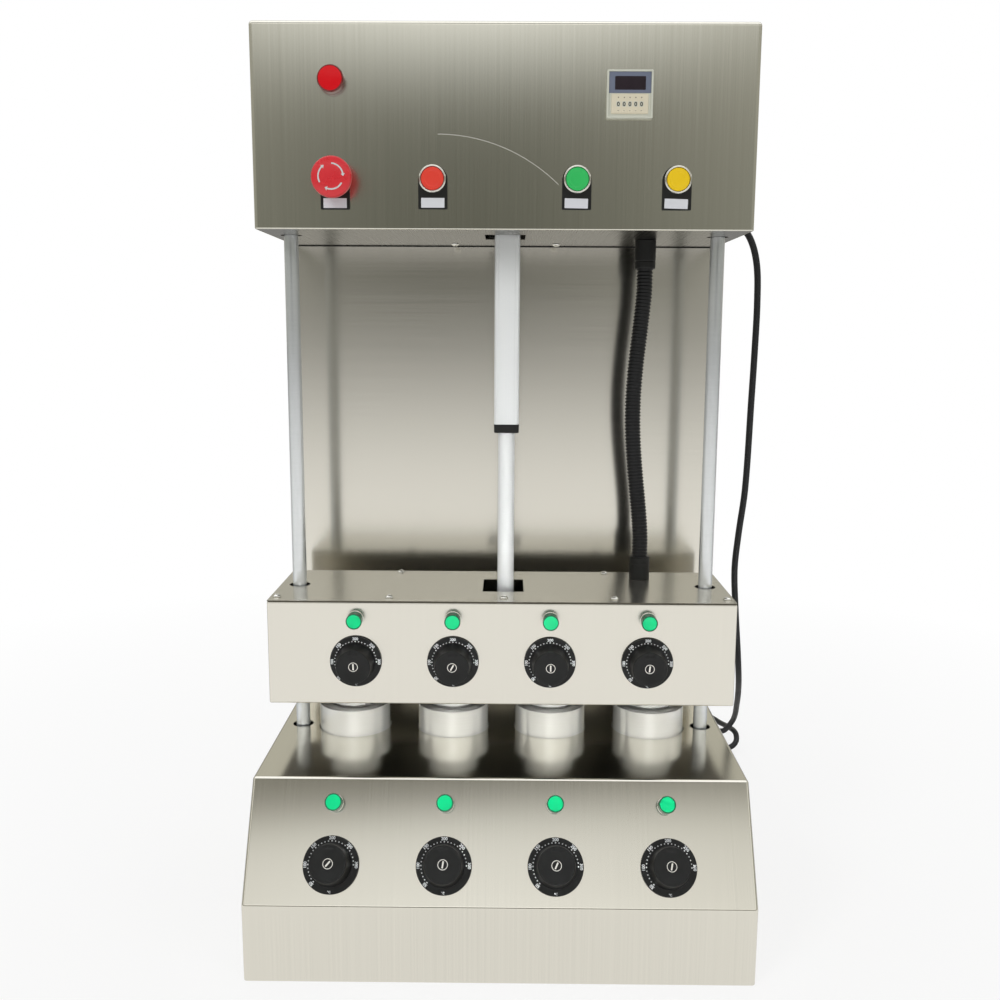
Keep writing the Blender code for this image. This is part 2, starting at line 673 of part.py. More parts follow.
def lamps(prefix, places, tilt, parent=None):
    """Small signal lamps: lens and rim in front of the panel, neck and nut behind it."""
    inner = -SHEET - GAP
    profile = [
        (0, -LAMP_TAIL),
        (LAMP_NECK_RADIUS, -LAMP_TAIL),
        (LAMP_NECK_RADIUS, inner - LAMP_NUT_HEIGHT),
        (LAMP_NUT_RADIUS, inner - LAMP_NUT_HEIGHT),
        (LAMP_NUT_RADIUS, inner),
        (LAMP_NECK_RADIUS, inner),
        (LAMP_NECK_RADIUS, GAP),
        (LAMP_RADIUS, GAP),
        (LAMP_RADIUS, LAMP_HEIGHT),
        (0, LAMP_HEIGHT),
    ]
    for number, point in enumerate(places, start=1):
        name = f"{prefix}_lamp_{number}"
        piece(name, shape(add_turned, profile, TINY_SIDES), "green_lens", point, tilt, parent)


def thermostat_bank(name, places, tilt, parent=None):
    """Four thermostats behind one panel, held together by a strip, each bored for its spindle."""
    turn = Matrix.Rotation(tilt, 4, "X")
    inner = -SHEET - GAP
    middle = (places[0] + places[-1]) / 2
    half = (places[-1] - places[0]).length / 2
    low = (-half, -STRIP_HEIGHT / 2, inner - STRIP_THICKNESS)
    high = (half, STRIP_HEIGHT / 2, inner)
    bank = piece(name, shape(add_block, low, high), "dark_steel", middle, tilt, parent)
    bodies = bmesh.new()
    bores = bmesh.new()
    for point in places:
        local = turn.inverted() @ (point - middle)
        back = local + Vector((0, 0, inner - THERMOSTAT_DEPTH))
        add_rod(bodies, THERMOSTAT_RADIUS, back, local + Vector((0, 0, inner)), TINY_SIDES)
        bore_end = local + Vector((0, 0, -SPINDLE_LENGTH - GAP))
        add_rod(bores, SPINDLE_RADIUS + GAP, bore_end, local + Vector((0, 0, OVERRUN)), TINY_SIDES)
    shaped(bank, "UNION", bodies, middle, tilt, parent)
    shaped(bank, "DIFFERENCE", bores, middle, tilt, parent)


def dials(prefix, places, tilt, parent=None):
    """Thermostat dials: marked skirt, finger cup with its pointer scoop, and the spindle behind."""
    skirt = DIAL_CLEARANCE + SKIRT_THICKNESS
    profile = [
        (0, -SPINDLE_LENGTH),
        (SPINDLE_RADIUS, -SPINDLE_LENGTH),
        (SPINDLE_RADIUS, DIAL_CLEARANCE),
        (DIAL_RADIUS, DIAL_CLEARANCE),
        (DIAL_RADIUS, skirt),
        (CUP_BASE_RADIUS, skirt),
        (CUP_TOP_RADIUS, DIAL_HEIGHT),
        (0, DIAL_HEIGHT),
    ]
    half = SCOOP_WIDTH / 2
    scoop_y = CUP_TOP_RADIUS + SCOOP_RADIUS / 2
    for number, point in enumerate(places, start=1):
        turned = shape(add_turned, profile, SMALL_SIDES)
        dial = piece(f"{prefix}_dial_{number}", turned, "black_plastic", point, tilt, parent)
        scoop = shape(
            add_rod, SCOOP_RADIUS, (-half, scoop_y, DIAL_HEIGHT), (half, scoop_y, DIAL_HEIGHT), TINY_SIDES
        )
        shaped(dial, "DIFFERENCE", scoop, point, tilt, parent)


def columns():
    """Guide columns, each with the nut that holds the crosshead down on it."""
    nut = CROSSHEAD_TOP_Z + GAP
    profile = [
        (0, FLOOR_THICKNESS + GAP),
        (COLUMN_RADIUS, FLOOR_THICKNESS + GAP),
        (COLUMN_RADIUS, nut),
        (COLUMN_NUT_RADIUS, nut),
        (COLUMN_NUT_RADIUS, nut + COLUMN_NUT_HEIGHT),
        (COLUMN_RADIUS, nut + COLUMN_NUT_HEIGHT),
        (COLUMN_RADIUS, nut + COLUMN_NUT_HEIGHT + COLUMN_STUB),
        (0, nut + COLUMN_NUT_HEIGHT + COLUMN_STUB),
    ]
    for side, x in (("left", -COLUMN_X), ("right", COLUMN_X)):
        piece(f"column_{side}", shape(add_turned, profile, TINY_SIDES), "chromed_steel", (x, AXIS_Y, 0))


def back_panel():
    """Rear sheet from foot to top, with side flanges that point forwards and two service openings."""
    half = PANEL_WIDTH / 2
    low = (-half, PANEL_Y - PANEL_FLANGE, PANEL_FOOT)
    high = (half, PANEL_Y + SHEET, TOP_BOX_TOP_Z)
    panel = piece("back_panel", shape(add_block, low, high), "brushed_steel")
    inner_low = (SHEET - half, PANEL_Y - PANEL_FLANGE - OVERRUN, PANEL_FOOT - OVERRUN)
    shaped(panel, "DIFFERENCE", shape(add_block, inner_low, (half - SHEET, PANEL_Y, TOP_BOX_TOP_Z + OVERRUN)))
    openings = bmesh.new()
    front, back = PANEL_Y - OVERRUN / 2, PANEL_Y + OVERRUN
    for width, middle in ((BASE_OPENING_WIDTH, BASE_COVER_Z), (TOP_OPENING_WIDTH, TOP_COVER_Z)):
        bottom, top = middle - REAR_OPENING_HEIGHT / 2, middle + REAR_OPENING_HEIGHT / 2
        add_block(openings, (-width / 2, front, bottom), (width / 2, back, top))
    add_rod(openings, GLAND_HOLE_RADIUS, (GLAND_X, front, GLAND_Z), (GLAND_X, back, GLAND_Z), SMALL_SIDES)
    shaped(panel, "DIFFERENCE", openings)


def rear_cover(name, width, middle, louvres):
    """Shallow pressed cover over a rear opening, with louvre slots where wanted."""
    half_width = width / 2 + COVER_OVERLAP
    half_height = REAR_OPENING_HEIGHT / 2 + COVER_OVERLAP
    front = PANEL_Y + SHEET + GAP
    low = (-half_width, front, middle - half_height)
    high = (half_width, front + COVER_DEPTH, middle + half_height)
    cover = piece(name, shape(add_block, low, high), "brushed_steel")
    inner_half = half_width - COVER_SHEET
    inner_height = half_height - COVER_SHEET
    inner_back = front + COVER_DEPTH - COVER_SHEET
    inner_low = (-inner_half, front - OVERRUN, middle - inner_height)
    shaped(cover, "DIFFERENCE", shape(add_block, inner_low, (inner_half, inner_back, middle + inner_height)))
    if louvres:
        slots = bmesh.new()
        half_slot = width * LOUVRE_LENGTH_SHARE / 2
        for number in range(LOUVRE_COUNT):
            z = middle + (number - (LOUVRE_COUNT - 1) / 2) * LOUVRE_PITCH
            slot_low = (-half_slot, front, z - LOUVRE_HEIGHT / 2)
            add_block(slots, slot_low, (half_slot, front + COVER_DEPTH + OVERRUN, z + LOUVRE_HEIGHT / 2))
        shaped(cover, "DIFFERENCE", slots)


def control_box():
    """Casing of the control box, open below and behind, with its floor."""
    half = TOP_BOX_WIDTH / 2
    low = (-half, HEAD_Y, TOP_BOX_BOTTOM_Z)
    high = (half, PANEL_Y - GAP, TOP_BOX_TOP_Z)
    casing = piece("top_box_shell", shape(add_block, low, high), "brushed_steel")
    inner_low = (SHEET - half, HEAD_Y + SHEET, TOP_BOX_BOTTOM_Z - OVERRUN)
    inner_high = (half - SHEET, PANEL_Y + OVERRUN, TOP_BOX_TOP_Z - SHEET)
    shaped(casing, "DIFFERENCE", shape(add_block, inner_low, inner_high))
    holes = bmesh.new()
    places = [head_point(x, BUTTON_Z) for x in PUSH_BUTTON_X.values()]
    places += [head_point(STOP_X, STOP_Z), head_point(POWER_LAMP_X, POWER_LAMP_Z)]
    panel_rods(holes, places, BUTTON_HOLE_RADIUS, UPRIGHT_TILT)
    cutout = TIMER_BODY / 2 + TIMER_CUTOUT_GAP
    timer_low = (TIMER_X - cutout, HEAD_Y - OVERRUN, TIMER_Z - cutout)
    add_block(holes, timer_low, (TIMER_X + cutout, HEAD_Y + OVERRUN, TIMER_Z + cutout))
    shaped(casing, "DIFFERENCE", holes)

    inner = half - SHEET - GAP
    floor_low = (-inner, HEAD_Y + SHEET + GAP, BOX_FLOOR_Z)
    floor_high = (inner, PANEL_Y - 2 * GAP, BOX_FLOOR_Z + SHEET)
    floor = piece("top_box_floor", shape(add_block, floor_low, floor_high), "brushed_steel")
    holes = shape(sockets_for_columns, COLUMN_HOLE_RADIUS, BOX_FLOOR_Z - OVERRUN, BOX_FLOOR_Z + OVERRUN)
    opening_front = FRONT_Y + FLOOR_OPENING_SETBACK
    opening_low = (LID_OPENING_X - FLOOR_OPENING_WIDTH / 2, opening_front, BOX_FLOOR_Z - OVERRUN)
    opening_right = LID_OPENING_X + FLOOR_OPENING_WIDTH / 2
    add_block(holes, opening_low, (opening_right, opening_front + FLOOR_OPENING_DEPTH, BOX_FLOOR_Z + OVERRUN))
    hose_low = (HOSE_TOP_X, HOSE_Y, BOX_FLOOR_Z - OVERRUN)
    add_rod(holes, FITTING_HOLE_RADIUS, hose_low, (HOSE_TOP_X, HOSE_Y, BOX_FLOOR_Z + OVERRUN), SMALL_SIDES)
    shaped(floor, "DIFFERENCE", holes)


def crosshead():
    """Bridge that ties the columns' tops together, stands on the box's floor and carries the actuator."""
    front, back = AXIS_Y - CROSSHEAD_HALF_DEPTH, AXIS_Y + CROSSHEAD_HALF_DEPTH
    low = (-CROSSHEAD_HALF_WIDTH, front, CROSSHEAD_Z)
    bridge = piece(
        "top_crosshead", shape(add_block, low, (CROSSHEAD_HALF_WIDTH, back, CROSSHEAD_TOP_Z)), "dark_steel"
    )
    legs = bmesh.new()
    leg_foot = BOX_FLOOR_Z + SHEET + GAP
    leg_top = CROSSHEAD_Z + CROSSHEAD_THICKNESS / 2
    for x in (-LEG_X, LEG_X - LEG_THICKNESS):
        add_block(legs, (x, front, leg_foot), (x + LEG_THICKNESS, back, leg_top))
    shaped(bridge, "UNION", legs)
    holes = shape(sockets_for_columns, COLUMN_RADIUS + GAP, CROSSHEAD_Z - OVERRUN, CROSSHEAD_TOP_Z + OVERRUN)
    outline = tube_outline(TUBE_WIDTH + 2 * GAP, TUBE_DEPTH + 2 * GAP, CROSSHEAD_Z - OVERRUN)
    add_prism(holes, outline, (0, 0, CROSSHEAD_THICKNESS + 2 * OVERRUN))
    shaped(bridge, "DIFFERENCE", holes)


def tube_outline(width, depth, z):
    """Rectangle with chamfered corners around the actuator's axis."""
    x, y = width / 2, depth / 2
    corner = TUBE_CHAMFER
    points = []
    for right, back in ((1, -1), (1, 1), (-1, 1), (-1, -1)):
        ends = [(right * (x - corner), back * y), (right * x, back * (y - corner))]
        points += ends if right * back < 0 else ends[::-1]
    return [(ACTUATOR_X + px, AXIS_Y + py, z) for px, py in points]


def actuator(carriage):
    """Electric actuator: motor and gearbox on the crosshead, outer tube, end collar and rod."""
    base = CROSSHEAD_TOP_Z + GAP
    half_width, half_depth = GEARBOX_WIDTH / 2, GEARBOX_DEPTH / 2
    low = (ACTUATOR_X - half_width, AXIS_Y - half_depth, base)
    high = (ACTUATOR_X + half_width, AXIS_Y + half_depth, base + GEARBOX_HEIGHT)
    motor = piece("actuator_motor", shape(add_block, low, high), "black_plastic")
    can_low = (ACTUATOR_X, AXIS_Y, base + GEARBOX_HEIGHT / 2)
    can_high = (ACTUATOR_X, AXIS_Y, TOP_BOX_TOP_Z - SHEET - MOTOR_HEADROOM)
    shaped(motor, "UNION", shape(add_rod, MOTOR_RADIUS, can_low, can_high, SMALL_SIDES))

    outline = tube_outline(TUBE_WIDTH, TUBE_DEPTH, TUBE_BOTTOM_Z)
    tube_length = CROSSHEAD_TOP_Z - TUBE_BOTTOM_Z
    tube = piece("actuator_tube", shape(add_prism, outline, (0, 0, tube_length)), "aluminium")
    bore_low = (ACTUATOR_X, AXIS_Y, TUBE_BOTTOM_Z - OVERRUN)
    bore_high = (ACTUATOR_X, AXIS_Y, CROSSHEAD_Z - TUBE_CLOSED_END)
    shaped(tube, "DIFFERENCE", shape(add_rod, TUBE_BORE_RADIUS, bore_low, bore_high))

    outline = tube_outline(COLLAR_WIDTH, TUBE_DEPTH, COLLAR_BOTTOM_Z)
    collar = piece("actuator_collar", shape(add_prism, outline, (0, 0, COLLAR_HEIGHT)), "black_plastic")
    collar_low = (ACTUATOR_X, AXIS_Y, COLLAR_BOTTOM_Z - OVERRUN)
    shaped(collar, "DIFFERENCE", shape(add_rod, ROD_RADIUS + GAP, collar_low, bore_high))

    eye_low_z = PLATE_TOP_Z + EYE_CLEARANCE
    rod_low = (ACTUATOR_X - EYE_HALF_WIDTH, AXIS_Y - EYE_HALF_DEPTH, eye_low_z)
    rod_high = (ACTUATOR_X + EYE_HALF_WIDTH, AXIS_Y + EYE_HALF_DEPTH, eye_low_z + EYE_LENGTH)
    offset = -carriage.location
    rod = piece("actuator_rod", shape(add_block, rod_low, rod_high), "aluminium", offset, parent=carriage)
    shaft = bmesh.new()
    shaft_low = (ACTUATOR_X, AXIS_Y, eye_low_z + EYE_LENGTH / 2 + PIN_RADIUS)
    add_rod(shaft, ROD_RADIUS, (*shaft_low[:2], eye_low_z + EYE_LENGTH - GAP), (*shaft_low[:2], rod_top()))
    pin_z = eye_low_z + EYE_HALF_WIDTH + PIN_RADIUS
    reach = EYE_HALF_WIDTH + RUN_GAP + EAR_THICKNESS + PIN_OVERHANG
    pin_ends = [(ACTUATOR_X + side * reach, AXIS_Y, pin_z) for side in (-1, 1)]
    add_rod(shaft, PIN_RADIUS, *pin_ends, SMALL_SIDES)
    shaped(rod, "UNION", shaft, offset, parent=carriage)


def rod_top():
    """Height of the rod's upper end, inside the tube."""
    return COLLAR_BOTTOM_Z + ROD_ENGAGEMENT


def carriage_casing(carriage):
    """Casing of the carriage, open above, and its lid."""
    offset = -carriage.location
    half = CARRIAGE_WIDTH / 2
    low = (-half, HEAD_Y, CARRIAGE_BOTTOM_Z)
    high = (half, CARRIAGE_BACK_Y, LID_BOTTOM_Z - GAP)
    casing = piece("carriage_shell", shape(add_block, low, high), "brushed_steel", offset, parent=carriage)
    inner_low = (SHEET - half, HEAD_Y + SHEET, CARRIAGE_BOTTOM_Z + SHEET)
    inner_high = (half - SHEET, CARRIAGE_BACK_Y - SHEET, CARRIAGE_TOP_Z + OVERRUN)
    shaped(casing, "DIFFERENCE", shape(add_block, inner_low, inner_high), offset, parent=carriage)
    bottom, top = CARRIAGE_BOTTOM_Z - OVERRUN, CARRIAGE_BOTTOM_Z + OVERRUN
    holes = shape(sockets_for_columns, COLUMN_HOLE_RADIUS, bottom, top)
    for x in MOULD_X:
        add_rod(holes, PUNCH_RADIUS + PUNCH_HOLE_GAP, (x, AXIS_Y, bottom), (x, AXIS_Y, top))
    dial_places = [head_point(x, CARRIAGE_DIAL_Z) for x in CARRIAGE_CONTROL_X]
    lamp_places = [head_point(x, CARRIAGE_LAMP_Z) for x in CARRIAGE_CONTROL_X]
    panel_rods(holes, dial_places, SPINDLE_HOLE_RADIUS, UPRIGHT_TILT)
    panel_rods(holes, lamp_places, LAMP_HOLE_RADIUS, UPRIGHT_TILT)
    shaped(casing, "DIFFERENCE", holes, offset, parent=carriage)

    lid_low = (-half, HEAD_Y, LID_BOTTOM_Z)
    lid_high = (half, CARRIAGE_BACK_Y, CARRIAGE_TOP_Z)
    lid = piece("carriage_lid", shape(add_block, lid_low, lid_high), "brushed_steel", offset, parent=carriage)
    under, over = LID_BOTTOM_Z - OVERRUN, CARRIAGE_TOP_Z + OVERRUN
    holes = shape(sockets_for_columns, COLUMN_HOLE_RADIUS, under, over)
    opening_low = (LID_OPENING_X - LID_OPENING_WIDTH / 2, FRONT_Y + LID_OPENING_SETBACK, under)
    opening_back = FRONT_Y + LID_OPENING_SETBACK + LID_OPENING_DEPTH
    add_block(holes, opening_low, (LID_OPENING_X + LID_OPENING_WIDTH / 2, opening_back, over))
    fitting_under = (HOSE_BOTTOM_X, HOSE_Y, under)
    add_rod(holes, FITTING_HOLE_RADIUS, fitting_under, (HOSE_BOTTOM_X, HOSE_Y, over), SMALL_SIDES)
    shaped(lid, "DIFFERENCE", holes, offset, parent=carriage)


def punch_plate(carriage):
    """Plate that carries the punches, with the two bearing housings and the rod's clevis."""
    offset = -carriage.location
    half = CARRIAGE_WIDTH / 2 - SHEET - GAP
    low = (-half, AXIS_Y - PLATE_HALF_DEPTH, PLATE_BOTTOM_Z)
    high = (half, AXIS_Y + PLATE_HALF_DEPTH, PLATE_TOP_Z)
    plate = piece("punch_plate", shape(add_block, low, high), "dark_steel", offset, parent=carriage)
    middle = PLATE_BOTTOM_Z + PLATE_THICKNESS / 2
    added = shape(sockets_for_columns, HOUSING_RADIUS, middle, PLATE_BOTTOM_Z + HOUSING_HEIGHT)
    for side in (-1, 1):
        near = ACTUATOR_X + side * (EYE_HALF_WIDTH + RUN_GAP)
        far = near + side * EAR_THICKNESS
        ear_low = (min(near, far), AXIS_Y - EAR_HALF_DEPTH, middle)
        add_block(added, ear_low, (max(near, far), AXIS_Y + EAR_HALF_DEPTH, PLATE_TOP_Z + EAR_HEIGHT))
    shaped(plate, "UNION", added, offset, parent=carriage)
    under, over = PLATE_BOTTOM_Z - OVERRUN, PLATE_BOTTOM_Z + HOUSING_HEIGHT + OVERRUN
    holes = shape(sockets_for_columns, COLUMN_RADIUS + GAP, under, over)
    for x in MOULD_X:
        add_rod(holes, SPIGOT_RADIUS + GAP, (x, AXIS_Y, under), (x, AXIS_Y, over))
    pin_z = PLATE_TOP_Z + EYE_CLEARANCE + EYE_HALF_WIDTH + PIN_RADIUS
    reach = EYE_HALF_WIDTH + EAR_THICKNESS + OVERRUN
    pin_ends = [(ACTUATOR_X + side * reach, AXIS_Y, pin_z) for side in (-1, 1)]
    add_rod(holes, PIN_RADIUS + GAP, *pin_ends, SMALL_SIDES)
    shaped(plate, "DIFFERENCE", holes, offset, parent=carriage)


def button_back(bezel_radius, bezel_height):
    """Profile of a button's fixed part: contact block, nut, neck and bezel."""
    inner = -SHEET - GAP
    return [
        (0, -CONTACT_LENGTH),
        (CONTACT_RADIUS, -CONTACT_LENGTH),
        (CONTACT_RADIUS, inner - BUTTON_NUT_HEIGHT - GAP),
        (BUTTON_NUT_RADIUS, inner - BUTTON_NUT_HEIGHT - GAP),
        (BUTTON_NUT_RADIUS, inner),
        (BUTTON_NECK_RADIUS, inner),
        (BUTTON_NECK_RADIUS, GAP + LEGEND_THICKNESS / 2),
        (bezel_radius, GAP + LEGEND_THICKNESS / 2),
        (bezel_radius, bezel_height),
        (0, bezel_height),
    ]


def legend_plate():
    """Plate behind a bezel: straight below the button, half round above it."""
    steps = TINY_SIDES // 2
    arc = [math.pi * step / steps for step in range(steps + 1)]
    outline = [(LEGEND_HALF_WIDTH * math.cos(a), LEGEND_HALF_WIDTH * math.sin(a), GAP) for a in arc]
    outline += [(-LEGEND_HALF_WIDTH, -LEGEND_DROP, GAP), (LEGEND_HALF_WIDTH, -LEGEND_DROP, GAP)]
    return shape(add_prism, outline, (0, 0, LEGEND_THICKNESS))


def button_base(name, point, bezel_radius, bezel_height, pocket):
    """Fixed part of a button: its legend plate is joined on, and then its pocket is turned out."""
    body = shape(add_turned, button_back(bezel_radius, bezel_height), TINY_SIDES)
    base = piece(name, body, "black_plastic", point, UPRIGHT_TILT)
    shaped(base, "UNION", legend_plate(), point, UPRIGHT_TILT)
    shaped(base, "DIFFERENCE", shape(add_turned, pocket, TINY_SIDES), point, UPRIGHT_TILT)


def push_buttons():
    """Bezels with their legend plates and contact blocks, and the caps that travel in them."""
    pocket_floor = BEZEL_HEIGHT - POCKET_DEPTH
    bore = CAP_STEM_RADIUS + GAP
    bore_floor = pocket_floor - CAP_STEM_LENGTH - BUTTON_TRAVEL
    pocket = [
        (0, bore_floor),
        (bore, bore_floor),
        (bore, pocket_floor),
        (POCKET_RADIUS, pocket_floor),
        (POCKET_RADIUS, BEZEL_HEIGHT + OVERRUN),
        (0, BEZEL_HEIGHT + OVERRUN),
    ]
    cap_top = BEZEL_HEIGHT - GAP
    cap_bottom = cap_top - CAP_THICKNESS
    cap = [
        (0, bore_floor + BUTTON_TRAVEL + GAP),
        (CAP_STEM_RADIUS, bore_floor + BUTTON_TRAVEL + GAP),
        (CAP_STEM_RADIUS, cap_bottom),
        (CAP_RADIUS, cap_bottom),
        (CAP_RADIUS, cap_top),
        (0, cap_top),
    ]
    colours = {"rise": "red_plastic", "down": "green_plastic", "yellow": "yellow_plastic"}
    for name, x in PUSH_BUTTON_X.items():
        point = head_point(x, BUTTON_Z)
        button_base(f"{name}_base", point, BEZEL_RADIUS, BEZEL_HEIGHT, pocket)
        piece(f"{name}_button", shape(add_turned, cap, TINY_SIDES), colours[name], point, UPRIGHT_TILT)


def stop_button():
    """Stop button: fixed part, the plunger that is pushed in, and the head that twists on it."""
    point = head_point(STOP_X, STOP_Z)
    bore = STOP_STEM_RADIUS + GAP
    head_bottom = STOP_HEAD_HEIGHT - STOP_HEAD_THICKNESS
    stem_end = head_bottom - STOP_STEM_LENGTH
    bore_floor = stem_end - STOP_TRAVEL - GAP
    mouth = STOP_BEZEL_HEIGHT + OVERRUN
    pocket = [(0, bore_floor), (bore, bore_floor), (bore, mouth), (0, mouth)]
    button_base("stop_base", point, STOP_BEZEL_RADIUS, STOP_BEZEL_HEIGHT, pocket)
    stem_top = head_bottom - GAP
    plunger = [
        (0, stem_end),
        (STOP_STEM_RADIUS, stem_end),
        (STOP_STEM_RADIUS, stem_top),
        (STOP_PIVOT_RADIUS, stem_top),
        (STOP_PIVOT_RADIUS, stem_top + STOP_PIVOT_LENGTH),
        (0, stem_top + STOP_PIVOT_LENGTH),
    ]
    piece("stop_plunger", shape(add_turned, plunger, TINY_SIDES), "black_plastic", point, UPRIGHT_TILT)
    socket = STOP_PIVOT_RADIUS + GAP
    socket_floor = head_bottom + STOP_PIVOT_LENGTH + GAP
    rim_low = STOP_HEAD_HEIGHT - STOP_HEAD_THICKNESS / 2 - STOP_RIM_THICKNESS / 2
    head = [
        (0, socket_floor),
        (socket, socket_floor),
        (socket, head_bottom),
        (STOP_CROWN_RADIUS, head_bottom),
        (STOP_HEAD_RADIUS, rim_low),
        (STOP_HEAD_RADIUS, rim_low + STOP_RIM_THICKNESS),
        (STOP_CROWN_RADIUS, STOP_HEAD_HEIGHT),
        (0, STOP_HEAD_HEIGHT),
    ]
    piece("stop_head", shape(add_turned, head, SMALL_SIDES), "red_plastic", point, UPRIGHT_TILT)


def power_lamp():
    """Red pilot lamp of the control box."""
    inner = -SHEET - GAP
    profile = [
        (0, -CONTACT_LENGTH),
        (CAP_RADIUS - RUN_GAP, -CONTACT_LENGTH),
        (CAP_RADIUS - RUN_GAP, inner - BUTTON_NUT_HEIGHT),
        (BUTTON_NUT_RADIUS, inner - BUTTON_NUT_HEIGHT),
        (BUTTON_NUT_RADIUS, inner),
        (BUTTON_NECK_RADIUS, inner),
        (BUTTON_NECK_RADIUS, GAP),
        (POWER_LAMP_RADIUS, GAP),
        (POWER_LAMP_RADIUS, POWER_LAMP_HEIGHT),
        (0, POWER_LAMP_HEIGHT),
    ]
    point = head_point(POWER_LAMP_X, POWER_LAMP_Z)
    piece("power_lamp", shape(add_turned, profile, SMALL_SIDES), "red_lens", point, UPRIGHT_TILT)


def timer():
    """Panel timer: square face in front of the panel and its body behind."""
    point = head_point(TIMER_X, TIMER_Z)
    face, body = TIMER_FACE / 2, TIMER_BODY / 2
    front = shape(add_block, (-face, -face, GAP), (face, face, TIMER_PROUD))
    made = piece("timer", front, "cream_plastic", point, UPRIGHT_TILT)
    rear = shape(add_block, (-body, -body, -TIMER_BODY_DEPTH), (body, body, TIMER_PROUD / 2))
    shaped(made, "UNION", rear, point, UPRIGHT_TILT)


def fitting_profile(face, wall_near, wall_far, outer_face):
    """Ring profile of a hose fitting, from its hose end through a sheet to its nut."""
    step = math.copysign(GAP, wall_near - face)
    nut = wall_far + step
    nut_end = nut + math.copysign(FITTING_NUT_HEIGHT, step)
    stub_end = nut_end + math.copysign(FITTING_STUB, step)
    return [
        (FITTING_BORE_RADIUS, face),
        (FITTING_RADIUS, face),
        (FITTING_RADIUS, outer_face),
        (FITTING_NECK_RADIUS, outer_face),
        (FITTING_NECK_RADIUS, nut),
        (FITTING_NUT_RADIUS, nut),
        (FITTING_NUT_RADIUS, nut_end),
        (FITTING_NECK_RADIUS, nut_end),
        (FITTING_NECK_RADIUS, stub_end),
        (FITTING_BORE_RADIUS, stub_end),
    ]


def hose_fittings(carriage):
    """Fittings of the ribbed hose in the control box's floor and in the carriage's lid."""
    upper = fitting_profile(FITTING_TOP_Z, BOX_FLOOR_Z, BOX_FLOOR_Z + SHEET, BOX_FLOOR_Z - GAP)
    place = (HOSE_TOP_X, HOSE_Y, 0)
    piece("hose_top_fitting", shape(add_turned, upper, TINY_SIDES, True), "black_plastic", place)
    lower = fitting_profile(FITTING_BOTTOM_Z, CARRIAGE_TOP_Z, LID_BOTTOM_Z, CARRIAGE_TOP_Z + GAP)
    place = Vector((HOSE_BOTTOM_X, HOSE_Y, 0)) - carriage.location
    fitting = shape(add_turned, lower, TINY_SIDES, True)
    piece("hose_bottom_fitting", fitting, "black_plastic", place, parent=carriage)


def hose_point(z):
    """Point of the hose's bowed centre line; it runs straight for one diameter at each end."""
    bottom, top = FITTING_BOTTOM_Z + 2 * HOSE_RADIUS, FITTING_TOP_Z - 2 * HOSE_RADIUS
    share = min(max((z - bottom) / (top - bottom), 0), 1)
    bow = HOSE_BOW * math.sin(math.pi * share) ** HOSE_BOW_SHARPNESS
    ease = share * share * (3 - 2 * share)
    return Vector((HOSE_BOTTOM_X + (HOSE_TOP_X - HOSE_BOTTOM_X) * ease - bow, HOSE_Y, z))


def tube_mesh(name, points, radii, resolution):
    """Returns the closed mesh of a round tube along points, with a radius at each."""
    curve = bpy.data.curves.new(name, "CURVE")
    curve.dimensions = "3D"
    curve.bevel_depth = 1.0
    curve.bevel_resolution = resolution
    curve.use_fill_caps = True
    spline = curve.splines.new("POLY")
    spline.points.add(len(points) - 1)
    for knot, point, radius in zip(spline.points, points, radii):
        knot.co = (*point, 1.0)
        knot.radius = radius
    holder = bpy.data.objects.new(name, curve)
    bpy.context.collection.objects.link(holder)
    mesh = bpy.data.meshes.new_from_object(holder.evaluated_get(bpy.context.evaluated_depsgraph_get()))
    bpy.data.objects.remove(holder, do_unlink=True)
    bm = bmesh.new()
    bm.from_mesh(mesh)
    bmesh.ops.remove_doubles(bm, verts=bm.verts, dist=CORD_RADIUS / 1000)
    return bm


def ribbed_hose():
    """Ribbed hose between its fittings: crests and valleys along the bow, with its bore cut out."""
    bottom, top = FITTING_BOTTOM_Z + GAP, FITTING_TOP_Z - GAP
    ribs = round((top - bottom) / HOSE_PITCH)
    heights = [bottom + (top - bottom) * step / (2 * ribs) for step in range(2 * ribs + 1)]
    radii = [HOSE_VALLEY_RADIUS if step % 2 else HOSE_RADIUS for step in range(2 * ribs + 1)]
    outside = tube_mesh("hose_outside", [hose_point(z) for z in heights], radii, 2)
    hose = piece("conduit_hose", outside, "hose_black")
    steps = round((top - bottom) / HOSE_BORE_STEP)
    inner = [hose_point(bottom + (top - bottom) * step / steps) for step in range(steps + 1)]
    inner[0].z -= OVERRUN
    inner[-1].z += OVERRUN
    bore = tube_mesh("hose_inside", inner, [HOSE_BORE_RADIUS] * len(inner), 2)
    shaped(hose, "DIFFERENCE", bore)


def smooth_route(points, step):
    """Samples a smooth curve through points at even steps along it."""
    padded = [points[0] * 2 - points[1], *points, points[-1] * 2 - points[-2]]
    fine = []
    for before, start, end, after in zip(padded, padded[1:], padded[2:], padded[3:]):
        span = (end - start).length
        leave = (end - before) / ((end - start).length + (start - before).length) * span
        arrive = (after - start) / ((after - end).length + (end - start).length) * span
        for part in range(ROUTE_PARTS):
            t = part / ROUTE_PARTS
            fine.append(
                start * (2 * t**3 - 3 * t**2 + 1)
                + leave * (t**3 - 2 * t**2 + t)
                + end * (3 * t**2 - 2 * t**3)
                + arrive * (t**3 - t**2)
            )
    fine.append(points[-1])
    lengths = [0.0]
    for near, far in zip(fine, fine[1:]):
        lengths.append(lengths[-1] + (far - near).length)
    count = round(lengths[-1] / step)
    route = []
    index = 0
    for number in range(count + 1):
        wanted = lengths[-1] * number / count
        while index < len(fine) - 2 and lengths[index + 1] < wanted:
            index += 1
        share = (wanted - lengths[index]) / (lengths[index + 1] - lengths[index])
        route.append(fine[index].lerp(fine[index + 1], min(share, 1)))
    return route


